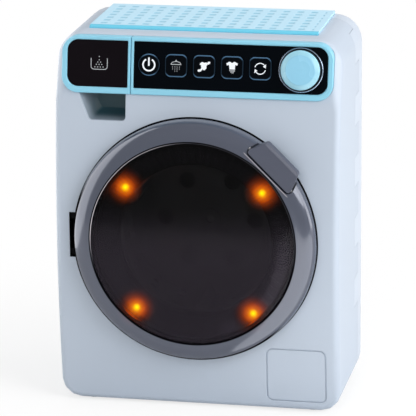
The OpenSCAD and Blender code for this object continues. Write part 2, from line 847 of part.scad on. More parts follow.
guide_wall = 1.6;
guide_gap = 0.4;

guide_low = base + tray_z0 - guide_gap - guide_wall;
guide_h = 10;
guide_start = recess_d + recess_wall + 0.3;
rail_start = 30;
rail_l = 30;

module drawer_guide() color([0.8, 0.83, 0.86])
    difference() {
        union() {
            translate([tray_x0 - guide_gap - guide_wall, face_y + guide_start, guide_low])
                cube([tray_w + 2 * (guide_gap + guide_wall), tray_end + guide_gap + guide_wall - guide_start, guide_h]);
            translate([-side + wall + 0.2, face_y + rail_start, guide_low])
                cube([tray_x0 - guide_gap + side - wall - 0.2, rail_l, guide_h]);
        }
        translate([tray_x0 - guide_gap, face_y, base + tray_z0 - guide_gap])
            cube([tray_w + 2 * guide_gap, tray_end + guide_gap, tray_h]);
    }

// Door

rim_h = door_gap + shadow_gap;
rim_r = glass_r + 1.2;

// Outer surface of the ring between its rim and its inner edge
function ring_top(d) = [for (i = [0:10])
    let (a = 9 * i)
    [rim_r + (door_r - rim_r - d) * pow(cos(a), ring_full), rim_h + (ring_h - rim_h - d) * pow(sin(a), ring_full)]];

// A narrow bead stands up round the glass
module ring_solid()
    rotate_extrude($fn = 128) polygon(concat(
        [[lip_r, door_gap], [door_r - shadow_gap, door_gap], [door_r - shadow_gap, rim_h - 0.3], [door_r, rim_h - 0.3]],
        ring_top(0),
        [[rim_r - 0.2, ring_h + bead_h], [glass_r + 0.4, ring_h + bead_h], [glass_r + fit_gap, ring_h - 0.1],
            [glass_r + fit_gap, flange_h0 + glass_t], [lip_r, flange_h0 + glass_t]]));

module ring_void()
    rotate_extrude($fn = 128) polygon(concat([[lip_r + 1.2, -1], [door_r - ring_wall, -1]],
        [for (p = ring_top(ring_wall)) if (p[0] > lip_r + 1.2) p], [[lip_r + 1.2, ring_h - ring_wall - 0.1]]));

skirt_l = 8;

// The bow of the front, raised by a gap
module bow_cylinder(gap)
    translate([-side, face_y + bow_r, bow_c]) rotate([0, 90, 0]) cylinder(r = bow_r + gap, h = body_w, $fn = 720);

// The rim reaches back along the bow of the front, with a shadow line at its edge
module ring_skirt()
    difference() {
        door_frame() translate([0, 0, -skirt_l]) difference() {
            cylinder(r = door_r, h = skirt_l + rim_h - 0.1, $fn = 128);
            translate([0, 0, -1]) cylinder(r = door_r - ring_wall, h = skirt_l + 5, $fn = 128);
        }
        bow_cylinder(door_gap);
        intersection() {
            bow_cylinder(door_gap + shadow_gap);
            door_frame() translate([0, 0, -skirt_l - 1]) difference() {
                cylinder(r = door_r + 1, h = skirt_l + 5, $fn = 128);
                translate([0, 0, -1]) cylinder(r = door_r - shadow_gap, h = skirt_l + 8, $fn = 128);
            }
        }
        translate([-side, face_y - 5, dz - 30]) cube([35, 20, 60]);
    }

// Plan of the handle, grown by g
module handle_plan(g = 0)
    polygon(soft_polygon([[handle_r0 - g, -handle_in - g], [handle_r1 + g, -handle_out - g + 0.8],
        [handle_r1 + g, handle_out + g - 0.8], [handle_r0 - g, handle_in + g]], handle_soft + g));

module door_ring() color([0.42, 0.43, 0.48])
    difference() {
        union() {
            door_frame() difference() {
                ring_solid();
                ring_void();
            }
            ring_skirt();
            intersection() {
                door_frame() ring_solid();
                handle_frame() translate([handle_r0 - handle_gap - 1, -handle_in - handle_gap - 4, 0])
                    cube([20, 2 * (handle_in + handle_gap + 4), 20]);
            }
            door_frame() for (a = door_screws_a) rotate([0, 0, a]) translate([door_screw_u, 0, door_gap + frame_t])
                cylinder(r = 2.8, h = 6);
        }
        handle_frame() {
            translate([0, 0, pocket_floor]) linear_extrude(20) handle_plan(handle_gap);
            translate([slot_u0, -tongue_half - 1, -12]) cube([slot_u1 - slot_u0, 2 * tongue_half + 2, 24]);
            translate([handle_pin_u, 0, handle_pin_h]) rotate([90, 0, 0]) cylinder(r = handle_pin_r, h = 52, center = true);
        }
        door_frame() {
            translate([0, 0, -eps]) cylinder(r = frame_out + 0.15, h = door_gap + frame_t + eps, $fn = 128);
            for (a = door_screws_a) rotate([0, 0, a]) translate([door_screw_u, 0, 0]) cylinder(r = 1, h = 7.5);
        }
        arm_clearance();
    }

module door_glass() color([0.12, 0.12, 0.14, 0.6])
    door_frame() rotate_extrude($fn = 128) polygon(concat(
        [for (i = [0:10]) let (u = glass_r * i / 10) [u, door_proud - (door_proud - ring_h + 0.3) * pow(i / 10, 2)]],
        [[glass_r, flange_h0 + glass_t - fit_gap], [flange_r, flange_h0 + glass_t - fit_gap], [flange_r, flange_h0],
            [glass_r - glass_t, flange_h0]],
        [for (i = [10:-1:0]) let (u = (glass_r - glass_t) * i / 10) [u, door_proud - glass_t - (door_proud - ring_h + 0.3) * pow(i / 10, 2)]]));

module door_inner_frame() color([0.3, 0.31, 0.35])
    difference() {
        door_frame() difference() {
            rotate_extrude($fn = 128) polygon([[frame_in, door_gap], [frame_out, door_gap], [frame_out, door_gap + frame_t],
                [flange_r - 0.3, door_gap + frame_t], [flange_r - 0.3, flange_h0], [frame_in + 1, flange_h0], [frame_in, flange_h0 - 1]]);
            for (a = door_screws_a) rotate([0, 0, a]) translate([door_screw_u, 0, -1]) {
                cylinder(r = 1.25, h = 8);
                cylinder(r = 2.1, h = 1 + door_gap + 1);
            }
        }
        handle_frame() translate([slot_u0 - 0.3, -tongue_half - 1, -12]) cube([slot_u1 - slot_u0, 2 * tongue_half + 2, 24]);
        arm_clearance();
    }

module door_screws() color([0.7, 0.7, 0.72])
    door_frame() for (a = door_screws_a) rotate([0, 0, a]) translate([door_screw_u, 0, door_gap]) {
        cylinder(r = 1, h = 6.5);
        translate([0, 0, 0.05]) cylinder(r = 2, h = 0.95);
    }

// The arm bends round the left edge of the slot, so that the door swings clear of the wall
function sector(r, a0, a1, n) = [for (i = [0:n]) let (a = a0 + (a1 - a0) * i / n) [r * cos(a), r * sin(a)]];

module arm_plan() {
    polygon(concat(sector(arc_out, 0, 90, 10), sector(arc_in, 90, 0, 10)));
    translate([arc_in, -hinge_d - door_gap - frame_t]) square([arc_out - arc_in, hinge_d + door_gap + frame_t + eps]);
    translate([-1.4, 0]) square([2.8, (arc_in + arc_out) / 2]);
    circle(r = knuckle_r);
}

foot_in = 1.2;

module hinge_arm() color([0.32, 0.33, 0.37])
    translate([hinge_x, hinge_y, dz]) difference() {
        union() {
            translate([0, 0, -arm_h / 2]) linear_extrude(arm_h) arm_plan();
            translate([arc_in + foot_in, -hinge_d - door_gap - frame_t - 2, -arm_h / 2]) cube([9 - foot_in, 2, arm_h]);
        }
        cylinder(r = pin_r + run_gap, h = arm_h + 2, center = true);
    }

module arm_clearance()
    translate([hinge_x + arc_in - 0.2, hinge_y - hinge_d - door_gap - frame_t - 0.02, dz - arm_h / 2 - 0.2])
        cube([arc_out - arc_in + 0.4, hinge_d + 5, arm_h + 0.4]);

module hinge_pin() color([0.75, 0.76, 0.78])
    translate([hinge_x, hinge_y, dz]) cylinder(r = pin_r, h = arm_h + 2 * (lug_gap + lug_h), center = true);

// Bracket with two lugs, seated on the inside of the front
module hinge_bracket() color([0.8, 0.83, 0.86])
    difference() {
        translate([hinge_x - knuckle_r - 0.6, face_y + hinge_seat, dz - hinge_half])
            cube([knuckle_r + arc_out + 1.7, hinge_d + arc_out + 2.5 - hinge_seat, 2 * hinge_half]);
        translate([hinge_x - cut_out, face_y, dz - arm_h / 2 - lug_gap])
            cube([2 * cut_out, hinge_d + arc_out + 0.5, arm_h + 2 * lug_gap]);
        translate([hinge_x, hinge_y, dz]) cylinder(r = pin_r, h = 2 * hinge_half + 2, center = true);
    }

// Handle

module door_handle() color([0.36, 0.37, 0.42])
    handle_frame() difference() {
        union() {
            intersection() {
                linear_extrude(20) handle_plan();
                rotate([90, 0, 0]) linear_extrude(60, center = true)
                    polygon([[handle_r0, handle_low], [handle_r1 + 2, handle_low], [handle_r1 + 2, handle_up - 2.6],
                        [handle_r1 - 2, handle_up], [handle_r0 + 0.5, handle_up], [handle_r0, handle_up - 0.5]]);
            }
            translate([tongue_u0, -tongue_half, -tongue_down]) cube([tongue_u1 - tongue_u0, 2 * tongue_half, tongue_down + handle_low + 1]);
        }
        translate([handle_pin_u, 0, handle_pin_h]) rotate([90, 0, 0]) cylinder(r = handle_pin_r + run_gap, h = 60, center = true);
        translate([handle_r0 - 1, -3.5, 0]) cube([5.4, 7, handle_pin_h + 2.6]);
    }

module handle_pin() color([0.75, 0.76, 0.78])
    handle_frame() translate([handle_pin_u, 0, handle_pin_h]) rotate([90, 0, 0]) cylinder(r = handle_pin_r, h = 50, center = true);

module handle_spring() color([0.7, 0.7, 0.72])
    handle_frame() translate([handle_pin_u, 0, handle_pin_h]) rotate([90, 0, 0]) difference() {
        cylinder(r = 1.9, h = 6, center = true);
        cylinder(r = handle_pin_r, h = 8, center = true);
    }

// The strike stands behind the front and guides the tongue of the handle
module latch_strike() color([0.8, 0.83, 0.86])
    handle_frame() difference() {
        translate([slot_u0 - 2.5, -tongue_half - 3.5, -14]) cube([slot_u1 - slot_u0 + 5, 2 * tongue_half + 7, 14 - strike_top()]);
        translate([slot_u0, -tongue_half - 1, -30]) cube([slot_u1 - slot_u0, 2 * tongue_half + 2, 60]);
    }

// Inner side of the front at the top of the strike
function strike_top() = wall + bow(dz + (slot_u1 + 2.5) * sin(handle_a) + (tongue_half + 3.5) * cos(handle_a)) + 0.1;

// Tub, drum and drive

// Places of the four posts that carry the motor bracket
function bracket_at() = [for (i = [-1, 1], j = [-1, 1]) [i * bracket_x, j * bracket_z]];

module tub() color([0.78, 0.8, 0.82])
    door_frame() difference() {
        union() {
            rotate_extrude($fn = 120) polygon([[tub_r, -tub_end], [hub_r, -tub_end],
                [hub_r, -tub_end - tub_wall], [tub_r + tub_wall, -tub_end - tub_wall],
                [tub_r + tub_wall, -tub_flange_d - tub_flange_t], [tub_flange_r, -tub_flange_d - tub_flange_t],
                [tub_flange_r, -tub_flange_d], [tub_r, -tub_flange_d]]);
            translate([0, 0, -tub_end - tub_wall]) difference() {
                cylinder(r = hub_r + 1, h = tub_wall + 3);
                translate([0, 0, -1]) cylinder(r = bush_r, h = 20);
            }
            for (p = bracket_at()) translate([p[0], p[1], -bracket_d]) cylinder(r = 3.5, h = bracket_d - tub_end - 1);
        }
        for (p = bracket_at()) translate([p[0], p[1], -bracket_d - 1]) cylinder(r = screw_r, h = 8);
    }

// Ring with the four lamps and moulded rays, seated on the flange of the tub
module lamp_ring() color([0.16, 0.16, 0.18])
    door_frame() difference() {
        union() {
            rotate_extrude($fn = 120) polygon([[lamp_ring_in, -tub_flange_d], [lamp_ring_r, -tub_flange_d],
                [lamp_ring_r, lamp_ring_h - 1.6], [lamp_ring_r - 0.8, lamp_ring_h - 0.8],
                [lamp_ring_in + 1, lamp_ring_h - 0.8], [lamp_ring_in, lamp_ring_h - 1.8]]);
            translate([0, 0, lamp_ring_h - 0.9]) linear_extrude(0.9) ray_plan();
        }
        for (p = lamps_at) translate([p[0], p[1], -cut_out]) cylinder(r = lamp_r + 0.05, h = 2 * cut_out);
        for (p = lamps_at) translate([p[0], p[1], lamp_ring_h - 1]) cylinder(r1 = lamp_r + 0.05, r2 = lamp_r + 0.9, h = 1.4);
    }

// A star of rays that starts at the inner edge and ends near the rim
module ray_plan()
    difference() {
        polygon([for (i = [0:2 * ray_n - 1]) let (a = 180 * i / ray_n, r = i % 2 == 0 ? lamp_ring_r - 1.4 : lamp_ring_in + 3)
            [r * cos(a), r * sin(a)]]);
        circle(r = lamp_ring_in + 1.2, $fn = 120);
    }

module lamps() color([1, 0.75, 0.1])
    door_frame() for (p = lamps_at) translate([p[0], p[1], -tub_flange_d]) {
        cylinder(r = lamp_r, h = tub_flange_d + lamp_ring_h - lamp_r);
        translate([0, 0, tub_flange_d + lamp_ring_h - lamp_r]) sphere(r = lamp_r, $fn = 24);
    }

drum_end = -drum_front - drum_l;
back_t = 2.4;
lifter_half = 4;
lifter_out = sqrt(pow(drum_r - drum_wall - 0.05, 2) - pow(lifter_half, 2));

// Perforated shell with its rounded front lip
module drum() color([0.82, 0.85, 0.88])
    door_frame() difference() {
        rotate_extrude($fn = 96) polygon([[mouth_r, -drum_front], [drum_r - 2, -drum_front], [drum_r, -drum_front - 2],
            [drum_r, drum_end + back_t], [drum_r - drum_wall, drum_end + back_t],
            [drum_r - drum_wall, -drum_front - drum_wall - 1], [mouth_r, -drum_front - drum_wall]]);
        for (i = [0:hole_n - 1], j = [0:row_n - 1])
            rotate([0, 0, (i + 0.5) * 360 / hole_n])
                translate([drum_r - drum_wall - 3, 0, -drum_front - 8 - j * (drum_l - 14) / (row_n - 1)])
                    rotate([0, 90, 0]) cylinder(r = hole_r, h = drum_wall + 6, $fn = 24);
    }

// Rear disc with its hub and six water holes
module drum_back() color([0.82, 0.85, 0.88])
    door_frame() difference() {
        union() {
            translate([0, 0, drum_end]) cylinder(r = drum_r, h = back_t, $fn = 96);
            translate([0, 0, drum_end - 2]) cylinder(r = hub_r, h = back_t + 2.6);
        }
        for (i = [0:5]) rotate([0, 0, 60 * i]) translate([34, 0, drum_end - 1]) cylinder(r = 6, h = back_t + 2);
        translate([0, 0, drum_end - 3]) cylinder(r = shaft_r, h = 6.5);
    }

// Three tapered ridges that lift the clothes
module drum_lifters() color([0.82, 0.85, 0.88])
    door_frame() for (i = [0:2]) rotate([0, 0, 120 * i + 30]) translate([0, 0, drum_end + back_t])
        linear_extrude(drum_l - back_t - drum_wall - 1.4)
            polygon([[lifter_out, -lifter_half], [drum_r - 9, -1.6], [drum_r - 9.6, 0], [drum_r - 9, 1.6], [lifter_out, lifter_half]]);

module drum_shaft() color([0.75, 0.76, 0.78])
    door_frame() translate([0, 0, -bracket_d - bracket_t - 3])
        cylinder(r = shaft_r, h = bracket_d + bracket_t + 3 + drum_end + 0.5);

module drum_screw() color([0.75, 0.76, 0.78])
    door_frame() translate([0, 0, -bracket_d - bracket_t - 4.5]) cylinder(r = 4.5, h = 1.5);

module drum_bush() color([0.9, 0.85, 0.7])
    door_frame() difference() {
        union() {
            translate([0, 0, -tub_end - tub_wall]) cylinder(r = bush_r, h = tub_wall + 3);
            translate([0, 0, -tub_end - tub_wall - 1]) cylinder(r = bush_r + 1.6, h = 1);
        }
        translate([0, 0, -tub_end - 10]) cylinder(r = shaft_r + run_gap, h = 30);
    }

// Involute teeth
pressure = 20;
backlash = 0.12;
function inv(a) = tan(a) * 180 / PI - a;
function tooth_half(n, r) = 90 / n + inv(pressure) - inv(acos(min(1, gear_m * n / 2 * cos(pressure) / r)))
    - backlash / r * 180 / PI;
function flank_r(n) = let (p = gear_m * n / 2, b = max(p * cos(pressure), p - 1.2 * gear_m))
    [p - 1.2 * gear_m, b, (b + p) / 2, p, p + 0.5 * gear_m, p + 0.95 * gear_m];
function tooth(n, a) = let (f = flank_r(n)) concat(
    [for (r = f) let (h = tooth_half(n, max(r, f[1]))) [r * cos(a - h), r * sin(a - h)]],
    [for (i = [len(f) - 1:-1:0]) let (r = f[i], h = tooth_half(n, max(r, f[1]))) [r * cos(a + h), r * sin(a + h)]]);
module gear_plan(n) polygon([for (i = [0:n - 1]) each tooth(n, 360 * i / n)]);

module drum_gear() color([0.9, 0.9, 0.85])
    door_frame() translate([0, 0, -gear_d0 - gear_w]) difference() {
        rotate([0, 0, motor_a]) linear_extrude(gear_w) gear_plan(gear_n);
        translate([0, 0, 1.6]) difference() {
            cylinder(r = gear_m * gear_n / 2 - 5, h = gear_w);
            translate([0, 0, -1]) cylinder(r = 7, h = gear_w + 2);
        }
        translate([0, 0, -1]) cylinder(r = shaft_r, h = gear_w + 2);
    }

module motor_pinion() color([0.85, 0.8, 0.6])
    door_frame() rotate([0, 0, motor_a]) translate([gear_c, 0, -gear_d0 - gear_w]) difference() {
        rotate([0, 0, 180 + 180 / pinion_n]) linear_extrude(gear_w) gear_plan(pinion_n);
        translate([0, 0, -1]) cylinder(r = motor_shaft_r + run_gap, h = gear_w + 2);
    }

module motor() color([0.7, 0.72, 0.74])
    door_frame() rotate([0, 0, motor_a]) translate([gear_c, 0, -bracket_d - bracket_t]) {
        translate([0, 0, -motor_l]) cylinder(r = motor_r, h = motor_l);
        cylinder(r = 3, h = bracket_t);
        cylinder(r = motor_shaft_r, h = bracket_d + bracket_t - gear_d0 - 1);
    }

module motor_bracket() color([0.55, 0.58, 0.62])
    door_frame() translate([0, 0, -bracket_d - bracket_t]) difference() {
        translate([-bracket_x - 6, -bracket_z - 6, 0]) cube([2 * bracket_x + 12, 2 * bracket_z + 12, bracket_t]);
        translate([0, 0, -1]) cylinder(r = shaft_r + run_gap, h = 10);
        rotate([0, 0, motor_a]) translate([gear_c, 0, -1]) cylinder(r = 3, h = 10);
        for (p = bracket_at()) translate([p[0], p[1], -1]) cylinder(r = screw_r, h = 8);
    }

module bracket_screws() color([0.7, 0.7, 0.72])
    door_frame() for (p = bracket_at()) translate([p[0], p[1], -bracket_d - bracket_t]) {
        cylinder(r = screw_r, h = 8);
        translate([0, 0, -1.4]) cylinder(r = screw_head_r, h = 1.4);
    }

// Rear side

module case_screws() color([0.7, 0.7, 0.72])
    for (s = [-1, 1], z = bosses_z)
        translate([s * boss_x, face_y + boss_end - 10, base + z]) rotate([-90, 0, 0]) {
            cylinder(r = screw_r, h = 18);
            translate([0, 0, 18]) cylinder(r = screw_head_r, h = 1.8);
        }

sound_x = side - 43;
sound_z = speaker_z - 50;

module sound_board() color([0.15, 0.4, 0.25]) {
    translate([sound_x - 16, back_y - 8 - board_t, sound_z - 20]) cube([32, board_t, 40]);
    translate([sound_x - 6, back_y - 8 - board_t - 2, sound_z - 5]) cube([12, 2, 10]);
}

module speaker() color([0.25, 0.25, 0.27])
    translate([0, back_y - wall, speaker_z]) rotate([90, 0, 0]) rotate_extrude()
        polygon([[0, 1.5], [speaker_r - 6, 1.5], [speaker_r - 3, 0], [speaker_r, 0], [speaker_r, 2.5], [speaker_r - 4, 2.5],
            [11, 6], [11, 10], [0, 10]]);

module speaker_retainer() color([0.8, 0.83, 0.86])
    translate([0, back_y - wall, speaker_z]) rotate([90, 0, 0]) rotate_extrude()
        polygon([[speaker_r, 0], [speaker_r + 2.5, 0], [speaker_r + 2.5, 4], [speaker_r - 2, 4], [speaker_r - 2, 2.5], [speaker_r, 2.5]]);

module battery_box() color([0.2, 0.21, 0.23])
    translate([-box_w / 2, face_y + box_d0, base + box_z]) difference() {
        cube([box_w, body_d - wall - box_d0, box_h]);
        translate([box_t, box_t, box_t]) cube([box_w - 2 * box_t, body_d, box_h - 2 * box_t]);
    }

function cell_x(i) = (i - (cell_n - 1) / 2) * cell_pitch;
cell_y = face_y + box_d0 + box_t + cell_r;

module batteries() color([0.2, 0.25, 0.4])
    for (i = [0:cell_n - 1]) {
        up = i % 2 == 0 ? 0 : 180;
        translate([cell_x(i), cell_y, base + box_z + box_h / 2]) rotate([up, 0, 0]) {
            translate([0, 0, -cell_l / 2]) cylinder(r = cell_r, h = cell_l - 1);
            translate([0, 0, cell_l / 2 - 1]) cylinder(r = 2.6, h = 1);
        }
    }

module battery_contacts() color([0.85, 0.8, 0.6])
    for (i = [0:cell_n - 1], s = [-1, 1])
        translate([cell_x(i) - 4.5, cell_y - 4.5, base + box_z + box_h / 2 + s * (cell_l / 2 + (box_h - 2 * box_t - cell_l) / 4)
            - (box_h - 2 * box_t - cell_l) / 4])
            cube([9, 9, (box_h - 2 * box_t - cell_l) / 2]);

module battery_cover() color([0.86, 0.92, 0.97])
    difference() {
        translate([-box_w / 2 - 2.7, back_y - cover_t, base + box_z - 2.7]) cube([box_w + 5.4, cover_t, box_h + 11.4]);
        translate([0, back_y - 5, base + box_z + box_h + 4]) rotate([-90, 0, 0]) cylinder(r = screw_r, h = 10);
        translate([0, back_y - 0.8, base + box_z + box_h + 4]) rotate([-90, 0, 0]) cylinder(r = screw_head_r, h = 10);
        for (i = [-3:3]) translate([i * 4 - 0.8, back_y - 0.5, base + box_z + box_h / 2 - 8]) cube([1.6, 1, 16]);
    }

module battery_cover_screw() color([0.7, 0.7, 0.72])
    translate([0, back_y, base + box_z + box_h + 4]) rotate([90, 0, 0]) {
        translate([0, 0, 0.2]) cylinder(r = screw_head_r, h = 0.6);
        translate([0, 0, 0.3]) cylinder(r = screw_r, h = 2);
    }

front_housing();
rear_cover();
top_plate();
panel_bezel();
control_fascia();
knob_ring();
tub();
lamp_ring();
lamps();
hinge_bracket();
hinge_pin();
latch_strike();
drawer_guide();
control_board();
button_switches();
knob_encoder();
sound_board();
motor();
motor_bracket();
bracket_screws();
drum_bush();
speaker();
speaker_retainer();
battery_box();
battery_contacts();
batteries();
battery_cover();
battery_cover_screw();
case_screws();
feet();
door_ring();
door_glass();
door_inner_frame();
door_screws();
hinge_arm();
handle_pin();
handle_spring();
door_handle();
drum();
drum_back();
drum_lifters();
drum_shaft();
drum_gear();
drum_screw();
motor_pinion();
drawer_front();
drawer_panel();
drawer_tray();
power_button();
rinse_button();
spin_button();
dry_button();
cycle_button();
knob();
knob_shaft();
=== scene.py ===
"""Looks of a toy washing machine: its finishes, printed signs, lamp glow, stage, lamps and camera."""

import json
import math

import bmesh
import bpy
from bpy.props import FloatProperty, FloatVectorProperty, IntProperty, PointerProperty
from mathutils import Matrix, Vector


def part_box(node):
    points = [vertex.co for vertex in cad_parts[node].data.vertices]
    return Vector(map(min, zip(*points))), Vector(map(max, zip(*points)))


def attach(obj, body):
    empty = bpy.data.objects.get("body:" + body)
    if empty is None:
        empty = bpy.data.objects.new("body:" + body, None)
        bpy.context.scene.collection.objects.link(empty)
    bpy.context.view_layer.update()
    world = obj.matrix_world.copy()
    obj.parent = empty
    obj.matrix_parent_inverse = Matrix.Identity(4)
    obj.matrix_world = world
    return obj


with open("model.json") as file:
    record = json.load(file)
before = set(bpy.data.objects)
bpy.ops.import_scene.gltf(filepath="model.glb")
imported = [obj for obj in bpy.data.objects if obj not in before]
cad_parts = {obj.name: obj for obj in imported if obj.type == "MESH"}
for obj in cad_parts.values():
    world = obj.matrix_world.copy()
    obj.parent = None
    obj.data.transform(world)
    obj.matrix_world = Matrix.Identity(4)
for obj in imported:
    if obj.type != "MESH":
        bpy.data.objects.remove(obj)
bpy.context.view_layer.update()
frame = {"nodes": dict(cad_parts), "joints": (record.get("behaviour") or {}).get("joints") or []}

bl_info = {
    "name": "Toy washing machine",
    "version": (1, 0, 0),
    "blender": (4, 5, 0),
    "location": "View3D > Sidebar > Washing machine",
    "description": "Finishes, printed signs, lamp glow and stage of a toy washing machine",
    "category": "Object",
}

MM = 0.001
# The housing's front bows with this radius, foremost at this height
BOW_RADIUS = 797 * MM
BOW_MIDDLE = 124 * MM
# Half height and left end of the slot of the door's hinge
SLOT_HALF = 17.6 * MM
SLOT_LEFT = -96 * MM
# Depth of the finger recess below the drawer
RECESS_DROP = 22 * MM
# The door ring's width, and where the pocket of its handle ends
RING_FACE = 15 * MM
POCKET_END = 77 * MM
HANDLE_HALF = 22 * MM
BUTTON_CORNER = 3.9 * MM
# The glass: how its dome rises per square metre, and its ribs
DOME_RISE = 0.37
RIBS = 190
# How wide the knob's chamfer is, and the first dimple of the top plate
KNOB_CHAMFER = 4.2 * MM
FIRST_DIMPLE = (-44.3 * MM, -9.5 * MM)
# Reach of the lamps' light on the ring and on the rays
LAMP_REACH = 17 * MM
BLACK = (0.0, 0.0, 0.0)
# Where the dome of the shower head's sign bends, as shares of its half width
DOME = (-1.0, -0.97, -0.88, -0.7, -0.45, -0.2, 0.0, 0.2, 0.45, 0.7, 0.88, 0.97, 1.0)
# Faces that meet at less than this many degrees are shaded smoothly, with other angles for some pieces
SMOOTH_BELOW = 28.0
OWN_ANGLES = {"front_housing": 24.0, "rear_cover": 24.0, "knob": 32.0, "knob_ring": 32.0, "knob_shaft": 32.0}
BOARDS = ("control_board", "sound_board")
FLAT_PIECES = ("battery_cover", "top_plate", "hinge_pin", "lamp_ring", "battery_contacts", *BOARDS)


def linear(red, green, blue):
    """Turns a colour seen on screen, 0 to 255, into the linear one that a shader takes."""
    return tuple(
        c / 12.92 if c <= 0.04045 else ((c + 0.055) / 1.055) ** 2.4
        for c in (red / 255, green / 255, blue / 255)
    )


def colour(name, description, *seen):
    """A colour that a user can change, given as it looks on screen."""
    return FloatVectorProperty(
        name=name, description=description, default=linear(*seen), subtype="COLOR", size=3, min=0, max=1
    )


def length(name, description, default):
    """A length that a user can change, given in millimetres."""
    return FloatProperty(name=name, description=description, default=default * MM, unit="LENGTH", min=0, precision=5)


def rotation(name, description, degrees):
    """An angle that a user can change, given in degrees."""
    return FloatProperty(name=name, description=description, default=math.radians(degrees), unit="ROTATION")


def power(name, description, watts):
    """The power of a lamp or a card, which a user can change."""
    return FloatProperty(name=name, description=description, default=watts, min=0, unit="POWER")


class WasherColours(bpy.types.PropertyGroup):
    """Colours of the machine's pieces, and of the light and shade painted on them."""

    housing: colour("Housing", "Front half of the housing", 186, 197, 211)
    cover: colour("Rear cover", "Rear half of the housing and its battery lid", 196, 206, 219)
    ring: colour("Panel ring", "Light ring round drawer and controls", 140, 207, 231)
    plate: colour("Top plate", "Top plate between its dimples", 192, 230, 249)
    # Colour of the painted shade in the dimples
    dimple_shade: colour("Top plate dimples", "Short dimples of the top plate", 146, 202, 226)
    lip: colour("Top plate lip", "Front lip of the top plate", 100, 196, 224)
    # Colour of the painted shade deep in the finger recess
    recess: colour("Finger recess", "Shaded lining of the finger recess under the drawer", 36, 64, 72)
    panel: colour("Control panel", "Gloss panel behind the buttons", 4, 7, 12)
    drawer: colour("Drawer panel", "Gloss panel of the drawer", 18, 14, 18)
    knob: colour("Knob", "Knob of the control panel", 144, 205, 232)
    door: colour("Door ring", "Ring round the glass", 83, 88, 103)
    handle: colour("Handle", "Pull handle on the door", 73, 77, 92)
    glass: colour("Glass", "Upper part of the smoked glass", 3, 3, 4)
    # Colour of the painted reflection of the floor on the lower glass
    glass_low: colour("Lower glass", "Lower part of the smoked glass", 40, 35, 43)
    core: colour("Lamp core", "Middle of a lit lamp", 255, 245, 10)
    halo: colour("Lamp halo", "Glow round a lit lamp", 255, 98, 12)
    # Colour of the painted highlight along the buttons' front edges
    outline: colour("Button outlines", "Fine outline of the buttons", 84, 120, 152)
    ink: colour("Printed signs", "Ink of the signs", 235, 240, 246)


class WasherSizes(bpy.types.PropertyGroup):
    """Sizes of surface detail and of what is printed on the machine."""

    edge: length("Edge rounding", "Radius at which moulded edges catch the light", 0.45)
    grain: length("Grain depth", "Depth of the moulded grain", 0.012)
    ink: length("Ink height", "Height of a printed sign above its button", 0.06)
    dimple_x: length("Dimple spacing across", "Distance between dimples of the top plate, side to side", 10.45)
    dimple_y: length("Dimple spacing along", "Distance between dimples of the top plate, front to rear", 9.8)
    dimple_depth: length("Dimple depth", "Depth of the dimples", 0.4)
    glow: length("Glow radius", "Radius of the glow in front of a lamp", 14.0)
    rays: IntProperty(name="Rays", description="Moulded rays round the lamp ring", default=72, min=12, max=120)


class WasherStage(bpy.types.PropertyGroup):
    """Camera, lamps and floor."""

    azimuth: rotation("Azimuth", "Camera's turn to the right", 11.874)
    elevation: rotation("Elevation", "Camera's height angle", 16.073)
    roll: rotation("Roll", "Camera's roll", -0.639)
    distance: FloatProperty(name="Distance", description="Camera to the machine", default=2.1438, unit="LENGTH")
    lens: FloatProperty(name="Lens", description="Focal length in millimetres", default=255.8, min=10)
    shift_x: FloatProperty(name="Shift across", description="Camera's shift to the side", default=0.0305)
    shift_y: FloatProperty(name="Shift up", description="Camera's shift upwards", default=0.0443)
    world: FloatProperty(name="Sky", description="Strength of the light from all round", default=0.42, min=0)
    key: power("Key lamp", "Power of the large lamp at the right", 14.0)
    side: power("Side lamp", "Power of the lamp beside the machine", 14.6)
    fill: power("Fill lamp", "Power of the front lamp", 9.0)
    left: power("Left lamp", "Power of the small lamp at the left", 1.2)
    top: power("Top lamp", "Power of the lamp above", 8.0)
    left_card: power("Left card", "Power of the card that shows in gloss at the left", 7.5)
    floor_card: power("Floor card", "Power of the card that shows in gloss at the right", 2.6)
    floor_front: FloatProperty(name="Floor edge", description="Front edge of the floor", default=-0.57, unit="LENGTH")


def operator(operation, reflected=False):
    """A method of Value that adds one Math node."""
    if reflected:
        return lambda value, other: value.math(operation, other, value)
    return lambda value, *others: value.math(operation, value, *others)


class Value:
    """A socket of a finish's nodes, with arithmetic."""

    def __init__(self, finish, socket):
        self.finish = finish
        self.socket = socket

    def math(self, operation, *values):
        """Adds a Math node that works on the given values."""
        return self.finish.node("ShaderNodeMath", {"operation": operation}, dict(enumerate(values)))

    __add__ = __radd__ = operator("ADD")
    __mul__ = __rmul__ = operator("MULTIPLY")
    __sub__ = operator("SUBTRACT")
    __rsub__ = operator("SUBTRACT", reflected=True)
    __truediv__ = operator("DIVIDE")
    __pow__ = operator("POWER")
    __mod__ = operator("FLOORED_MODULO")
    __gt__ = operator("GREATER_THAN")
    __abs__ = operator("ABSOLUTE")
    sin = operator("SINE")
    least = operator("MINIMUM")
    most = operator("MAXIMUM")

    def fade(self, start, end):
        """Goes smoothly from 0 at start to 1 at end."""
        inputs = {"Value": self, "From Min": start, "From Max": end}
        return self.finish.node("ShaderNodeMapRange", {"interpolation_type": "SMOOTHSTEP"}, inputs)


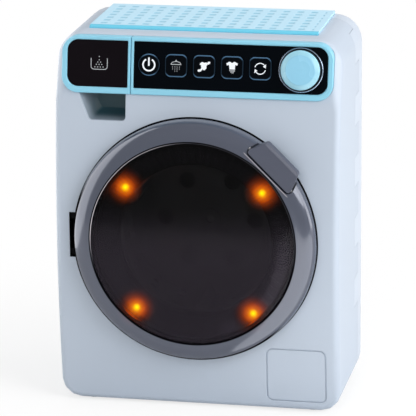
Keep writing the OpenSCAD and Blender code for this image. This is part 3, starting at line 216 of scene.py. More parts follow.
class Finish:
    """One material, or the sky, and the nodes that make it."""

    def __init__(self, name, kind="materials"):
        self.sizes = bpy.context.scene.washer_sizes
        self.material = getattr(bpy.data, kind).new(name)
        self.material.use_nodes = True
        self.tree = self.material.node_tree
        self.tree.nodes.clear()
        self.place = self.node("ShaderNodeTexCoord", {}, {}, "Object")

    def node(self, kind, settings, inputs, output=0):
        """Adds a node: its settings first, then the values or links of its sockets."""
        made = self.tree.nodes.new(kind)
        for key, value in settings.items():
            if key == "stops":
                ramp = made.color_ramp.elements
                while len(ramp) < len(value):
                    ramp.new(0.5)
                for stop, (position, shade) in zip(ramp, value):
                    stop.position = position
                    stop.color = (*shade, 1)
            else:
                setattr(made, key, value)
        for key, value in inputs.items():
            socket = made.inputs[key]
            if isinstance(value, Value):
                self.tree.links.new(value.socket, socket)
            elif socket.type == "RGBA" and len(value) == 3:
                socket.default_value = (*value, 1)
            else:
                socket.default_value = value
        return Value(self, made.outputs[output])

    def noise(self, scale, detail=2.0, where=None):
        """Soft cloudy noise from 0 to 1."""
        inputs = {"Vector": where or self.place, "Scale": scale, "Detail": detail}
        return self.node("ShaderNodeTexNoise", {}, inputs, "Fac")

    def stretched(self, x, y, z):
        """Object coordinates scaled along each axis."""
        return self.node("ShaderNodeMapping", {"vector_type": "POINT"}, {"Vector": self.place, "Scale": (x, y, z)})

    def axes(self):
        """The three coordinates, in metres."""
        outputs = self.node("ShaderNodeSeparateXYZ", {}, {"Vector": self.place}).socket.node.outputs
        return tuple(Value(self, outputs[axis]) for axis in "XYZ")

    def about(self, node):
        """The coordinates with x and z from a CAD node's middle, and the distance from its axis."""
        low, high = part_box(node)
        middle = (low + high) / 2
        x, y, z = self.axes()
        x, z = x - middle.x, z - middle.z
        return x, y, z, (x ** 2.0 + z ** 2.0) ** 0.5

    def on_panel(self, place):
        """Coordinates across, along and out of the panel from a place on it."""
        middle, (_, up, out) = place.translation, place.to_3x3().transposed()
        x, y, z = self.axes()
        y, z = y - middle.y, z - middle.z
        return x - middle.x, y * up.y + z * up.z, y * out.y + z * out.z

    def behind_front(self):
        """Depth behind the bowed front of the housing."""
        _, y, z = self.axes()
        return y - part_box("front_housing")[0].y - (z - BOW_MIDDLE) ** 2.0 / (2 * BOW_RADIUS)

    def mix(self, factor, low, high):
        """A colour between two others."""
        settings = {"data_type": "RGBA", "blend_type": "MIX", "clamp_factor": True}
        return self.node("ShaderNodeMix", settings, {0: factor, 6: low, 7: high}, 2)

    def bump(self, height, depth, normal=None):
        """A normal bent by a height from 0 to 1 that stands for a depth in metres."""
        inputs = {"Height": height, "Distance": depth, "Strength": 1.0}
        if normal is not None:
            inputs["Normal"] = normal
        return self.node("ShaderNodeBump", {}, inputs)

    def rounded(self, radius):
        """The normal of edges rounded by a radius."""
        return self.node("ShaderNodeBevel", {"samples": 6}, {"Radius": radius})

    def grained(self, height, grain=1.0, edge=1.0):
        """The normal of moulded grain on soft edges, with shares of the set depth and radius."""
        return self.bump(height, self.sizes.grain * grain, self.rounded(self.sizes.edge * edge))

    def surface(self, gap_shade=None, **sockets):
        """Ends the material in one surface shader, with dull black painted shade mixed in by gap_shade. A name's
        underscores stand for spaces.
        """
        shader = self.node("ShaderNodeBsdfPrincipled", {}, {k.replace("_", " "): v for k, v in sockets.items()})
        if gap_shade is not None:
            black = self.node("ShaderNodeBsdfDiffuse", {}, {"Color": (0.003, 0.003, 0.004), "Roughness": 1.0})
            shader = self.node("ShaderNodeMixShader", {}, {0: gap_shade, 1: shader, 2: black})
        return self.end(shader)

    def end(self, shader, output="ShaderNodeOutputMaterial"):
        """Links a shader to the output."""
        out = self.tree.nodes.new(output)
        self.tree.links.new(shader.socket, out.inputs["Surface"])
        return self.material


def shade(tint, factor):
    """A colour made darker or lighter by a factor."""
    return tuple(min(1.0, c * factor) for c in tint)


def mould_marks(finish, grain=1.0, edge=1.0):
    """What moulding leaves: flow clouds, a little roughness, and the normal of fine grain and soft edges."""
    flow = finish.noise(16.0, 3.0)
    grains = finish.noise(2600.0)
    skin = finish.noise(260.0)
    return flow, flow * 0.08 + grains * 0.06, finish.grained(grains * 0.6 + skin * 0.4, grain, edge)


def moulded(name, tint, rough=0.36, grain=1.0, edge=1.0, coat=0.0, metal=0.0, gloss=0.5):
    """Injection-moulded plastic."""
    finish = Finish(name)
    flow, uneven, normal = mould_marks(finish, grain, edge)
    return finish.surface(
        Base_Color=finish.mix(flow, shade(tint, 0.95), shade(tint, 1.05)),
        Metallic=metal,
        Roughness=uneven + (rough - 0.07),
        Coat_Weight=coat,
        Coat_Roughness=0.08,
        Specular_IOR_Level=gloss,
        Normal=normal,
    )


def housing_skin(name, tint, painted_shade):
    """Housing plastic, with painted shade deep in the finger recess that is lighter on its floor and darker to the
    right, and painted black shade in the hinge slot and in a thin line round the door.
    """
    finish = Finish(name)
    drawer_low, drawer_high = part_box("drawer_front")
    door_low, door_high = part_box("door_ring")
    edge = (door_high.x - door_low.x) / 2
    x, _, z = finish.axes()
    _, _, above_hinge, radius = finish.about("door_ring")
    deep = finish.behind_front()
    inward = x - drawer_low.x
    above = z - drawer_low.z
    # Painted shade in the finger recess: more of it deeper and towards the right, less on the recess's lit floor
    right = inward.fade(8 * MM, 26 * MM)
    floor = 1 - above.fade(-RECESS_DROP, 4 * MM - RECESS_DROP)
    recess = (
        (deep.fade(2 * MM, 12 * MM) * 0.35 + right * deep.fade(0.2 * MM, 2.5 * MM) * 0.65)
        * (1 - floor * (0.55 - right * 0.25))
        * inward.fade(5 * MM, 6 * MM)
        * (drawer_high.x - x).fade(-1 * MM, -0.5 * MM)
        * above.fade(-RECESS_DROP - 1 * MM, -RECESS_DROP)
        * (4 * MM - above).fade(0.0, 0.5 * MM)
    )
    # Painted black shade inside the slot of the door's hinge
    slot = (
        (x - SLOT_LEFT).fade(0.0, 0.5 * MM)
        * (1 - (x - SLOT_LEFT).fade(13 * MM, 14 * MM))
        * (SLOT_HALF - abs(above_hinge)).fade(0.0, 0.2 * MM)
        * deep.fade(0.2 * MM, 0.5 * MM)
    )
    # Painted shadow line on the housing just round the door ring
    gap_shade = (1 - radius.fade(edge + 0.6 * MM, edge + 0.9 * MM)) * (1 - deep.fade(3 * MM, 4 * MM))
    flow, uneven, normal = mould_marks(finish)
    plastic = finish.mix(flow, shade(tint, 0.97), shade(tint, 1.03))
    # The painted shade colour goes where the recess mask is; the hinge slot and the line round the door get painted
    # black shade
    return finish.surface(
        slot.most(gap_shade), Base_Color=finish.mix(recess, plastic, painted_shade), Roughness=uneven + 0.35, Normal=normal
    )


def gloss_panel(name, tint):
    """Back-printed gloss panel: deep colour with the slightest orange peel."""
    finish = Finish(name)
    cloud = finish.noise(40.0)
    peel = finish.noise(420.0, 1.0)
    dust = finish.noise(1800.0, 3.0)
    base = finish.mix(cloud, shade(tint, 0.85), shade(tint, 1.2))
    return finish.surface(
        Base_Color=base, Roughness=dust * 0.1 + 0.2, Specular_IOR_Level=0.03, Normal=finish.grained(peel, 0.15, 0.5)
    )


def button_edge_highlight(name, tint, light, cap, round_cap):
    """Gloss button cap with a painted highlight at its front edge: a fine cool line, bright above and below and dim at
    the sides.
    """
    finish = Finish(name)
    place = panel_place(cap)
    middle, (_, up, out) = place.translation, place.to_3x3().transposed()
    points = [v.co - middle for v in frame["nodes"][cap].data.vertices]
    front = [p for p in points if p.dot(out) > -0.02 * MM]
    wide, tall = max(p.x for p in front), max(p.dot(up) for p in front)
    corner = wide if round_cap else BUTTON_CORNER
    across, along, sunk = finish.on_panel(place)
    along = abs(along)
    round_x = (abs(across) - (wide - corner)).most(0.0)
    round_y = (along - (tall - corner)).most(0.0)
    edge = (round_x ** 2.0 + round_y ** 2.0) ** 0.5
    # Painted highlight along the cap's rounded front edge
    line = edge.fade(corner - 0.5 * MM, corner - 0.2 * MM) * sunk.fade(-0.5 * MM, -0.3 * MM)
    bright = (along / tall).fade(0.6, 0.98) * 0.8 + 0.12
    return finish.surface(
        Base_Color=finish.mix(line * bright, tint, light),
        Roughness=finish.noise(1500.0) * 0.08 + 0.2,
        Specular_IOR_Level=0.04,
        Normal=finish.bump(finish.noise(500.0, 1.0), finish.sizes.grain * 0.15),
    )


def smoked_glass(name, tint, floor_reflection_tint, halo):
    """Dark clear moulding with faint turned circles and fine ribs near its rim; lighter below by a painted reflection
    of the floor, with painted highlights on the ribs at the lower right, darker near the lamps, and with painted lamp
    glow near its rim.
    """
    finish = Finish(name)
    x, y, z, radius = finish.about("door_glass")
    circles = (radius * (2 * math.pi / (2.4 * MM))).sin() * 0.5 + 0.5
    band = radius.fade(62 * MM, 64 * MM) * (1 - radius.fade(70.5 * MM, 71.5 * MM))
    behind_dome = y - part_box("door_glass")[0].y - DOME_RISE * radius ** 2.0
    ribs = (x.math("ARCTAN2", x, z) * RIBS).sin().fade(-0.4, 0.8) * band * (1 - behind_dome.fade(0.5 * MM, 1.0 * MM))
    # Painted highlight on the ribs, only at the lower right
    lit = ((x * 0.82 - z * 0.57) / radius).fade(0.7, 0.94)
    haze = finish.noise(30.0)
    # Painted reflection of the floor: the glass turns lighter below
    height = (z + haze * 8 * MM).fade(-6 * MM, 34 * MM)
    base = finish.mix(height, finish.mix(haze, shade(floor_reflection_tint, 0.85), shade(floor_reflection_tint, 1.15)), tint)
    base = finish.mix(ribs * (lit * 0.6 + 0.04), base, shade(floor_reflection_tint, 4.0))
    # Painted lamp glow on the glass near its rim
    near = lamp_light(finish, 20 * MM)
    glow = near ** 2.0 * radius.fade(69.5 * MM, 73 * MM)
    finish.material.surface_render_method = "BLENDED"
    return finish.surface(
        Base_Color=finish.mix(near.fade(0.05, 0.6), base, (0.006, 0.002, 0.0)),
        Roughness=haze * 0.04 + 0.05,
        Alpha=0.66,
        Normal=finish.bump(circles * radius.fade(45 * MM, 72 * MM), 0.006 * MM),
        Specular_IOR_Level=0.12,
        Emission_Color=finish.mix(glow, BLACK, halo),
        Emission_Strength=0.15,
    )


def plated(name, tint, rough=0.16):
    """Bright plating over turned plastic."""
    finish = Finish(name)
    rings = finish.noise(900.0)
    normal = finish.bump(rings, 0.004 * MM, finish.rounded(0.15 * MM))
    base = finish.mix(finish.noise(60.0), shade(tint, 0.9), tint)
    return finish.surface(Base_Color=base, Metallic=1.0, Roughness=rings * 0.1 + rough, Normal=normal)


def drawn_steel(name, tint, rough=0.3):
    """Bright steel with fine draw marks and a few darker clouds."""
    finish = Finish(name)
    marks = finish.noise(400.0, 4.0, finish.stretched(1.0, 14.0, 1.0))
    cloud = finish.noise(120.0, 3.0)
    base = finish.mix(cloud, shade(tint, 0.72), tint)
    normal = finish.bump(marks, 0.008 * MM, finish.rounded(0.2 * MM))
    return finish.surface(Base_Color=base, Metallic=1.0, Roughness=marks * 0.16 + rough, Normal=normal)


def dimpled_plate(name, tint, dimples, front):
    """Top plate: rows of short dimples with painted shade in them, and a plain stronger blue front lip."""
    finish = Finish(name)
    low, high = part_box("top_plate")
    x, y, z = finish.axes()
    across, along = (
        abs((((axis - first) / step + 0.5) % 1.0) - 0.5) * step
        for axis, first, step in zip((x, y), FIRST_DIMPLE, (finish.sizes.dimple_x, finish.sizes.dimple_y))
    )
    inside = (
        (x - low.x).fade(4 * MM, 5 * MM)
        * (high.x - x).fade(4 * MM, 5 * MM)
        * (y - low.y).fade(5 * MM, 6 * MM)
        * (high.y - y).fade(3 * MM, 4 * MM)
        * (z - high.z).fade(-0.4 * MM, -0.2 * MM)
    )
    # Painted shade: the dimples are darker, besides their bump
    marks = (1 - across.fade(1.6 * MM, 3.2 * MM)) * (1 - along.fade(1.3 * MM, 3.0 * MM)) * inside
    lip = 1 - (y - low.y).fade(3.0 * MM, 4.4 * MM)
    grains = finish.noise(2200.0)
    soft = finish.mix(finish.noise(25.0), shade(tint, 0.98), shade(tint, 1.02))
    base = finish.mix(lip, finish.mix(marks, soft, dimples), front)
    normal = finish.bump(1 - marks + grains * 0.02, finish.sizes.dimple_depth, finish.rounded(finish.sizes.edge))
    return finish.surface(Base_Color=base, Roughness=grains * 0.08 + 0.4, Normal=normal)


def rubber(name, tint):
    """Matt rubber with a pebbled skin."""
    finish = Finish(name)
    pebbles = finish.node("ShaderNodeTexVoronoi", {}, {"Vector": finish.place, "Scale": 1600.0}, "Distance")
    base = finish.mix(finish.noise(200.0, 3.0), shade(tint, 0.8), shade(tint, 1.25))
    normal = finish.bump(pebbles, 0.05 * MM, finish.rounded(0.3 * MM))
    return finish.surface(Base_Color=base, Roughness=pebbles * 0.15 + 0.7, Normal=normal)


def circuit_board(name, tint):
    """Solder mask over tracks, with bright pads."""
    finish = Finish(name)
    x, _, z = finish.axes()
    tracks = ((x / (2.4 * MM)) % 1.0).fade(0.42, 0.5) * (finish.noise(90.0, 1.0) > 0.5)
    inputs = {"Vector": finish.stretched(1.0, 0.1, 1.0), "Scale": 260.0}
    pads = 1 - finish.node("ShaderNodeTexVoronoi", {}, inputs, "Distance").fade(0.12, 0.18)
    mask = finish.mix(tracks, tint, shade(tint, 1.7))
    base = finish.mix(pads, mask, (0.75, 0.76, 0.74))
    return finish.surface(
        Base_Color=base, Metallic=pads * 0.9, Roughness=0.42 - pads * 0.15, Normal=finish.bump(tracks + pads, 0.03 * MM)
    )


def cell_jacket(name, tint, band):
    """Printed jacket of a dry cell: two plain bands and bright ends."""
    finish = Finish(name)
    low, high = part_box("batteries")
    _, _, z = finish.axes()
    share = (z - low.z) / (high.z - low.z)
    ends = (1 - share.fade(0.015, 0.02)) + share.fade(0.98, 0.985)
    bands = share.fade(0.66, 0.67)
    base = finish.mix(ends, finish.mix(bands, tint, band), (0.8, 0.8, 0.78))
    scuffs = finish.noise(300.0, 4.0)
    return finish.surface(
        Base_Color=base, Metallic=ends.most(0.35), Roughness=scuffs * 0.2 + 0.22, Normal=finish.bump(scuffs, 0.01 * MM)
    )


def turned_cone(name, tint, node):
    """Speaker: paper cone with pressed circles."""
    finish = Finish(name)
    radius = finish.about(node)[3]
    circles = (radius * (2 * math.pi / (1.8 * MM))).sin() * 0.5 + 0.5
    fibre = finish.noise(900.0, 4.0)
    base = finish.mix(fibre, shade(tint, 0.7), shade(tint, 1.3))
    return finish.surface(Base_Color=base, Roughness=fibre * 0.2 + 0.65, Normal=finish.bump(circles, 0.15 * MM))


def lit_lamp(name, core, halo):
    """Clear amber lamp that shines from its middle."""
    finish = Finish(name)
    edge = finish.node("ShaderNodeLayerWeight", {}, {"Blend": 0.35}, "Facing")
    return finish.surface(
        Base_Color=finish.mix(finish.noise(800.0), halo, core),
        Roughness=finish.noise(400.0) * 0.1 + 0.2,
        Emission_Color=finish.mix(edge.fade(0.0, 0.6), core, BLACK),
        Emission_Strength=3.0,
    )


def lamp_light(finish, reach):
    """How near a point is to a lamp: 1 at it and 0 at reach."""
    nearest = None
    for middle in lamp_middles():
        inputs = {0: finish.place, 1: tuple(middle)}
        apart = finish.node("ShaderNodeVectorMath", {"operation": "DISTANCE"}, inputs, "Value")
        nearest = apart if nearest is None else nearest.least(apart)
    return (1 - nearest / reach).most(0.0)


def ray_turn(finish):
    """Turn round the lamp ring's middle, in radians from straight up."""
    x, _, z, _ = finish.about("lamp_ring")
    return x.math("ARCTAN2", x, z)


def ray_ring(name, tint, halo):
    """Dark ring behind the glass whose moulded rays get painted highlights along their backs, with painted lamp light
    round its lamps.
    """
    finish = Finish(name)
    # Painted highlight along the backs of the rays
    rays = (ray_turn(finish) * finish.sizes.rays + math.pi / 2).sin() * 0.5 + 0.5
    grain = finish.noise(700.0)
    return finish.surface(
        Base_Color=finish.mix(rays, shade(tint, 0.6), shade(tint, 1.5)),
        Roughness=grain * 0.1 + 0.34,
        Emission_Color=finish.mix(lamp_light(finish, LAMP_REACH) ** 2.0, BLACK, halo),
        Emission_Strength=1.6,
        Normal=finish.bump(grain, 0.01 * MM),
    )


def glow_veil(name, core, halo):
    """Soft light in the air round a lamp: yellow in its middle, orange and then nothing outwards."""
    finish = Finish(name)
    near = lamp_light(finish, finish.sizes.glow)
    rays = (ray_turn(finish) * (finish.sizes.rays * 2.0)).sin() * 0.5 + 0.5
    wisps = finish.noise(300.0, 3.0) * 0.6 + rays * near.fade(0.85, 0.5) * 0.4
    tints = ((0.5, 0.0), (0.7, 0.1), (0.8, 0.31), (0.86, 0.52), (1.0, 1.0))
    stops = [(near_by, tuple(h + (c - h) * share for h, c in zip(halo, core))) for near_by, share in tints]
    levels = ((0.08, 0.0), (0.29, 0.022), (0.44, 0.072), (0.54, 0.16), (0.65, 0.275), (0.75, 0.38), (0.86, 0.56))
    levels = [(near_by, (level,) * 3) for near_by, level in (*levels, (0.95, 0.62))]
    finish.material.surface_render_method = "BLENDED"
    return finish.surface(
        Base_Color=BLACK,
        Roughness=1.0,
        Specular_IOR_Level=0.0,
        Emission_Color=finish.node("ShaderNodeValToRGB", {"stops": stops}, {"Fac": near}, "Color"),
        Emission_Strength=16.0,
        Alpha=finish.node("ShaderNodeValToRGB", {"stops": levels}, {"Fac": near}, "Color") * (wisps * 0.8 + 0.6),
    )


def printed_ink(name, tint):
    """White screen-printed ink, a little uneven, with a faint painted glow."""
    finish = Finish(name)
    patchy = finish.noise(1500.0, 3.0)
    base = finish.mix(patchy, shade(tint, 0.92), tint)
    # Painted glow: the ink gives off a little light in its own colour
    return finish.surface(
        Base_Color=base, Roughness=patchy * 0.15 + 0.45, Emission_Color=base, Emission_Strength=0.12,
        Normal=finish.bump(patchy, 0.01 * MM),
    )


def dress(material, *nodes):
    """Gives CAD nodes a finish, and shades their curved faces smoothly while real edges stay sharp."""
    for node in nodes:
        piece = frame["nodes"][node]
        for slot in piece.material_slots:
            slot.material = material
        if node not in FLAT_PIECES:
            weld = piece.modifiers.new("weld", "WELD")
            weld.merge_threshold = 0.002 * MM
            shading = piece.modifiers.new("smooth", "NODES")
            shading.node_group = smooth_nodes(OWN_ANGLES.get(node, SMOOTH_BELOW))


def smooth_nodes(angle):
    """The modifier that shades smoothly across edges flatter than an angle."""
    name = f"smooth_{angle:g}"
    if name in bpy.data.node_groups:
        return bpy.data.node_groups[name]
    group = bpy.data.node_groups.new(name, "GeometryNodeTree")
    group.is_modifier = True
    for way in ("INPUT", "OUTPUT"):
        group.interface.new_socket("Geometry", in_out=way, socket_type="NodeSocketGeometry")
    kinds = ("NodeGroupInput", "NodeGroupOutput", "GeometryNodeInputMeshEdgeAngle", "FunctionNodeCompare")
    start, end, bend, sharp = (group.nodes.new(kind) for kind in kinds)
    faces, edges = (group.nodes.new("GeometryNodeSetShadeSmooth") for _ in range(2))
    faces.domain, edges.domain = "FACE", "EDGE"
    edges.inputs["Shade Smooth"].default_value = False
    sharp.data_type = "FLOAT"
    sharp.operation = "GREATER_THAN"
    sharp.inputs[1].default_value = math.radians(angle)
    for output, socket in (
        (start.outputs[0], faces.inputs["Geometry"]),
        (faces.outputs[0], edges.inputs["Geometry"]),
        (bend.outputs["Unsigned Angle"], sharp.inputs[0]),
        (sharp.outputs[0], edges.inputs["Selection"]),
        (edges.outputs[0], end.inputs[0]),
    ):
        group.links.new(output, socket)
    return group


def lamp_middles():
    """Middle of each lamp's front, from the lamps' own mesh."""
    points = [v.co for v in frame["nodes"]["lamps"].data.vertices]
    low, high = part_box("lamps")
    middle = (low + high) / 2
    found = []
    for right in (False, True):
        for up in (False, True):
            own = [p for p in points if (p.x > middle.x) == right and (p.z > middle.z) == up]
            x, z = ((min(p[i] for p in own) + max(p[i] for p in own)) / 2 for i in (0, 2))
            found.append(Vector((x, low.y, z)))
    return found


def add(primitive, name, **settings):
    """Deselects everything and adds one primitive by its operator."""
    bpy.ops.object.select_all(action="DESELECT")
    primitive(**settings)
    piece = bpy.context.object
    piece.name = name
    piece.data.name = name
    return piece


def cut_shape(name, outline, height):
    """A flat piece with a given outline, in millimetres, raised by a height in metres."""
    piece = add(bpy.ops.mesh.primitive_circle_add, name, vertices=len(outline), radius=MM, fill_type="NGON")
    bpy.ops.object.mode_set(mode="EDIT")
    mesh = bmesh.from_edit_mesh(piece.data)
    mesh.verts.ensure_lookup_table()
    for vertex, (x, y) in zip(mesh.verts, outline):
        vertex.co = (x * MM, y * MM, 0)
    bmesh.update_edit_mesh(piece.data)
    bpy.ops.mesh.select_all(action="SELECT")
    bpy.ops.mesh.extrude_region_move(TRANSFORM_OT_translate={"value": (0, 0, height)})
    bpy.ops.mesh.select_all(action="SELECT")
    bpy.ops.mesh.quads_convert_to_tris(quad_method="BEAUTY", ngon_method="BEAUTY")
    bpy.ops.mesh.normals_make_consistent(inside=False)
    bpy.ops.object.mode_set(mode="OBJECT")
    return piece


def stroke(name, points, width, height):
    """A line of constant width through points, in millimetres."""
    sides = ([], [])
    for i, (x, y) in enumerate(points):
        before = Vector(points[max(i - 1, 0)])
        after = Vector(points[min(i + 1, len(points) - 1)])
        along = (after - before).normalized()
        for side, sign in zip(sides, (1, -1)):
            side.append((x - sign * along.y * width / 2, y + sign * along.x * width / 2))
    return cut_shape(name, sides[1] + sides[0][::-1], height)


def arc(radius, start, end, middle=(0, 0), steps=24):
    """Points on an arc, in millimetres and degrees; 0 points right and 90 up."""
    turns = [math.radians(start + (end - start) * i / steps) for i in range(steps + 1)]
    return [(middle[0] + radius * math.cos(turn), middle[1] + radius * math.sin(turn)) for turn in turns]


def dot(name, x, y, radius, height):
    """A round dot, in millimetres."""
    return cut_shape(name, arc(radius, 0, 345, (x, y), 23), height)


def panel_place(node):
    """Where the middle of a cap's or panel's front lies, as a matrix with Z out of the panel."""
    out = -Vector(next(j["axis"] for j in frame["joints"] if j["name"] == "power_press"))
    points = [v.co for v in frame["nodes"][node].data.vertices]
    height = max(p.dot(out) for p in points)
    top = [p for p in points if p.dot(out) > height - 0.02 * MM]
    middle = Vector([(min(p[i] for p in top) + max(p[i] for p in top)) / 2 for i in range(3)])
    across = Vector((1, 0, 0))
    return Matrix.Translation(middle) @ Matrix((across, out.cross(across), out)).transposed().to_4x4()


def print_sign(name, strokes, node, material, at=(0, 0)):
    """Joins the parts of a sign, lays it on a node's front and lets it ride on the node's body."""
    bpy.ops.object.select_all(action="DESELECT")
    for part in strokes:
        part.select_set(True)
    bpy.context.view_layer.objects.active = strokes[0]
    if len(strokes) > 1:
        bpy.ops.object.join()
    sign = bpy.context.object
    sign.name = name
    sign.data.name = name
    lift = Matrix.Translation((at[0] * MM, at[1] * MM, -0.01 * MM))
    sign.matrix_world = panel_place(node) @ lift
    bpy.ops.object.transform_apply(location=True, rotation=True, scale=True)
    sign.data.materials.clear()
    sign.data.materials.append(material)
    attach(sign, node.split("_")[0])


class Step(bpy.types.Operator):
    """Base of the steps that dress the machine."""

    bl_options = {"REGISTER", "UNDO"}

    def execute(self, context):
        self.build(context.scene.washer_colours, context.scene.washer_sizes, context.scene.washer_stage)
        return {"FINISHED"}


class WASHER_OT_housing(Step):
    """Both halves of the housing, its feet and its screws"""

    bl_idname = "washer.housing"
    bl_label = "Housing"

    def build(self, colours, sizes, stage):
        dress(housing_skin("housing_plastic", colours.housing, colours.recess), "front_housing")
        dress(moulded("cover_plastic", colours.cover, 0.42), "rear_cover", "battery_cover")
        dress(rubber("foot_rubber", (0.05, 0.05, 0.055)), "feet")
        dress(drawn_steel("screw_steel", (0.62, 0.62, 0.64)), "case_screws", "battery_cover_screw")


class WASHER_OT_top_plate(Step):
    """Dimpled plate on the top"""

    bl_idname = "washer.top_plate"
    bl_label = "Top plate"

    def build(self, colours, sizes, stage):
        dress(dimpled_plate("plate_plastic", colours.plate, colours.dimple_shade, colours.lip), "top_plate")


class WASHER_OT_panel(Step):
    """Light ring, gloss panels and drawer"""

    bl_idname = "washer.panel"
    bl_label = "Panel and drawer"

    def build(self, colours, sizes, stage):
        dress(moulded("ring_plastic", colours.ring, 0.3, 0.5, 1.6), "panel_bezel", "drawer_front")
        dress(gloss_panel("panel_gloss", colours.panel), "control_fascia")
        dress(gloss_panel("drawer_gloss", colours.drawer), "drawer_panel")
        dress(moulded("tray_plastic", (0.72, 0.75, 0.78), 0.45), "drawer_tray", "drawer_guide")
        ink = printed_ink("soap_ink", shade(colours.ink, 0.5))
        high = sizes.ink
        cup = arc(2.2, 180, 270, (-3.8, -1.4), 8) + arc(2.2, 270, 360, (3.8, -1.4), 8)
        parts = [stroke("cup", [(-6.0, 4.4)] + cup + [(6.0, 4.4)], 0.5, high)]
        rows = ((5.6, (0,)), (3.3, (0,)), (1.6, (-1.05, 1.05)), (-0.1, (-2.1, -0.1, 1.9)))
        for y, places in (*rows, (-1.9, (-3.2, -1.1, 0.9, 2.9))):
            parts += [dot("dot", x, y, 0.4, high) for x in places]
        print_sign("soap_sign", parts, "drawer_panel", ink, (1.25, -0.7))


class WASHER_OT_buttons(Step):
    """Caps of the push buttons with their signs"""

    bl_idname = "washer.buttons"
    bl_label = "Buttons"

    def build(self, colours, sizes, stage):
        caps = ("power_button", "rinse_button", "spin_button", "dry_button", "cycle_button")
        for cap in caps:
            dress(button_edge_highlight(f"{cap}_gloss", colours.panel, colours.outline, cap, cap == "power_button"), cap)
        ink = printed_ink("sign_ink", colours.ink)
        high = sizes.ink
        parts = [stroke("arc", arc(4.3, 120, 420, steps=40), 1.15, high)]
        parts.append(stroke("bar", [(0, -0.8), (0, 5.3)], 1.25, high))
        print_sign("power_sign", parts, "power_button", ink)
        dim = printed_ink("dim_ink", shade(colours.ink, 0.3))
        parts = [stroke("dome", [(x * 3.6, 1.0 + 2.0 * (1 - x * x) ** 0.5) for x in DOME], 0.45, high)]
        parts += [stroke("brim", [(-3.9, 0.9), (3.9, 0.9)], 0.5, high), dot("top", 0, 3.7, 0.5, high)]
        print_sign("rinse_sign", parts, "rinse_button", printed_ink("soft_ink", shade(colours.ink, 0.55)))
        drops = [(x, y) for x in (-2.5, -0.8, 0.8, 2.5) for y in (-0.4, -1.9)] + [(-0.8, -3.4), (0.8, -3.4)]
        parts = [stroke("drop", [(x, y), (x, y - 1.0)], 0.42, high) for x, y in drops]
        print_sign("rinse_drops", parts, "rinse_button", dim)
        twisted = [(-3.2, 2.4), (-1.5, 3.6), (0.2, 2.9), (1.8, 3.4), (2.9, 1.9), (1.9, 0.6), (2.0, -1.2), (0.6, -2.6)]
        twisted += [(-0.7, -2.5), (-1.6, -1.5), (-2.3, -0.4), (-2.1, 0.9), (-3.4, 1.4)]
        upper = [(2.0, 2.2), (3.2, 3.9), (4.6, 3.9), (5.0, 2.9), (4.3, 2.2), (3.4, 1.6)]
        lower = [(-1.9, -0.9), (-2.9, -2.0), (-4.6, -2.4), (-5.0, -3.5), (-4.2, -4.0), (-2.4, -3.7), (-1.2, -2.2)]
        parts = [cut_shape("cloth", [(x * 0.93, y * 0.95) for x, y in p], high) for p in (twisted, upper, lower)]
        print_sign("spin_sign", parts, "spin_button", ink)
        shirt = [(-1.3, 4.2), (-0.5, 3.5), (0.5, 3.5), (1.3, 4.2), (2.3, 4.1), (4.2, 3.0), (3.7, 1.5), (2.6, 2.0)]
        shirt += [(2.2, 1.6), (2.1, -1.4), (-1.9, -1.0), (-2.2, 1.6), (-2.6, 2.0), (-3.7, 1.5), (-4.2, 3.0)]
        shirt.append((-2.3, 4.1))
        print_sign("dry_sign", [cut_shape("shirt", shirt, high)], "dry_button", ink)
        hem = [(-1.6, -2.5), (-0.75, -3.6), (0.1, -4.1), (0.95, -4.0), (1.75, -2.9)]
        parts = [stroke("fold", [(x, -1.0), (x, y)], 0.55, high) for x, y in hem]
        print_sign("dry_folds", parts, "dry_button", printed_ink("fold_ink", shade(colours.ink, 0.5)))
        parts = []
        for turn in (0, 180):
            parts.append(stroke("arc", arc(3.9, 165 + turn, 40 + turn), 0.66, high))
            tip = [arc(r, a + turn, a + turn, steps=1)[0] for r, a in ((5.4, 38), (2.5, 38), (3.9, 4))]
            parts.append(cut_shape("arrow", tip, high))
        print_sign("cycle_sign", parts, "cycle_button", ink)


def chamfered_knob(name, tint):
    """Knob plastic whose rim, turned down towards its edge, is painted paler as a highlight, with near black painted
    shade at its very edge, where it meets its ring.
    """
    finish = Finish(name)
    place = panel_place("knob")
    edge = max(abs(v.co.x - place.translation.x) for v in frame["nodes"]["knob"].data.vertices)
    chamfer = edge - KNOB_CHAMFER
    across, along, _ = finish.on_panel(place)
    radius = (across ** 2.0 + along ** 2.0) ** 0.5
    # Painted highlight: the rim is paler
    rim = radius.fade(chamfer, chamfer + 1 * MM)
    # Painted shade at the knob's very edge, where it meets its ring
    gap_shade = radius.fade(edge - 0.5 * MM, edge - 0.25 * MM)
    flow = finish.noise(40.0)
    face = finish.mix(flow, shade(tint, 0.98), shade(tint, 1.02))
    grain = finish.grained(finish.noise(900.0), 0.4)
    return finish.surface(
        # Paler painted highlight on the rim, near black painted shade at the very edge
        Base_Color=finish.mix(gap_shade, finish.mix(rim * 0.45, face, linear(176, 228, 240)), (0.01, 0.02, 0.03)),
        Roughness=flow * 0.06 + 0.24,
        Coat_Weight=0.3,
        Coat_Roughness=0.06,
        Normal=finish.bump((radius - chamfer).most(0.0) * -0.5, 1.0, grain),
    )


class WASHER_OT_knob(Step):
    """Turning knob with its bright ring"""

    bl_idname = "washer.knob"
    bl_label = "Knob"

    def build(self, colours, sizes, stage):
        dress(chamfered_knob("knob_plastic", colours.knob), "knob")
        dress(plated("knob_plating", (0.42, 0.52, 0.66)), "knob_ring")


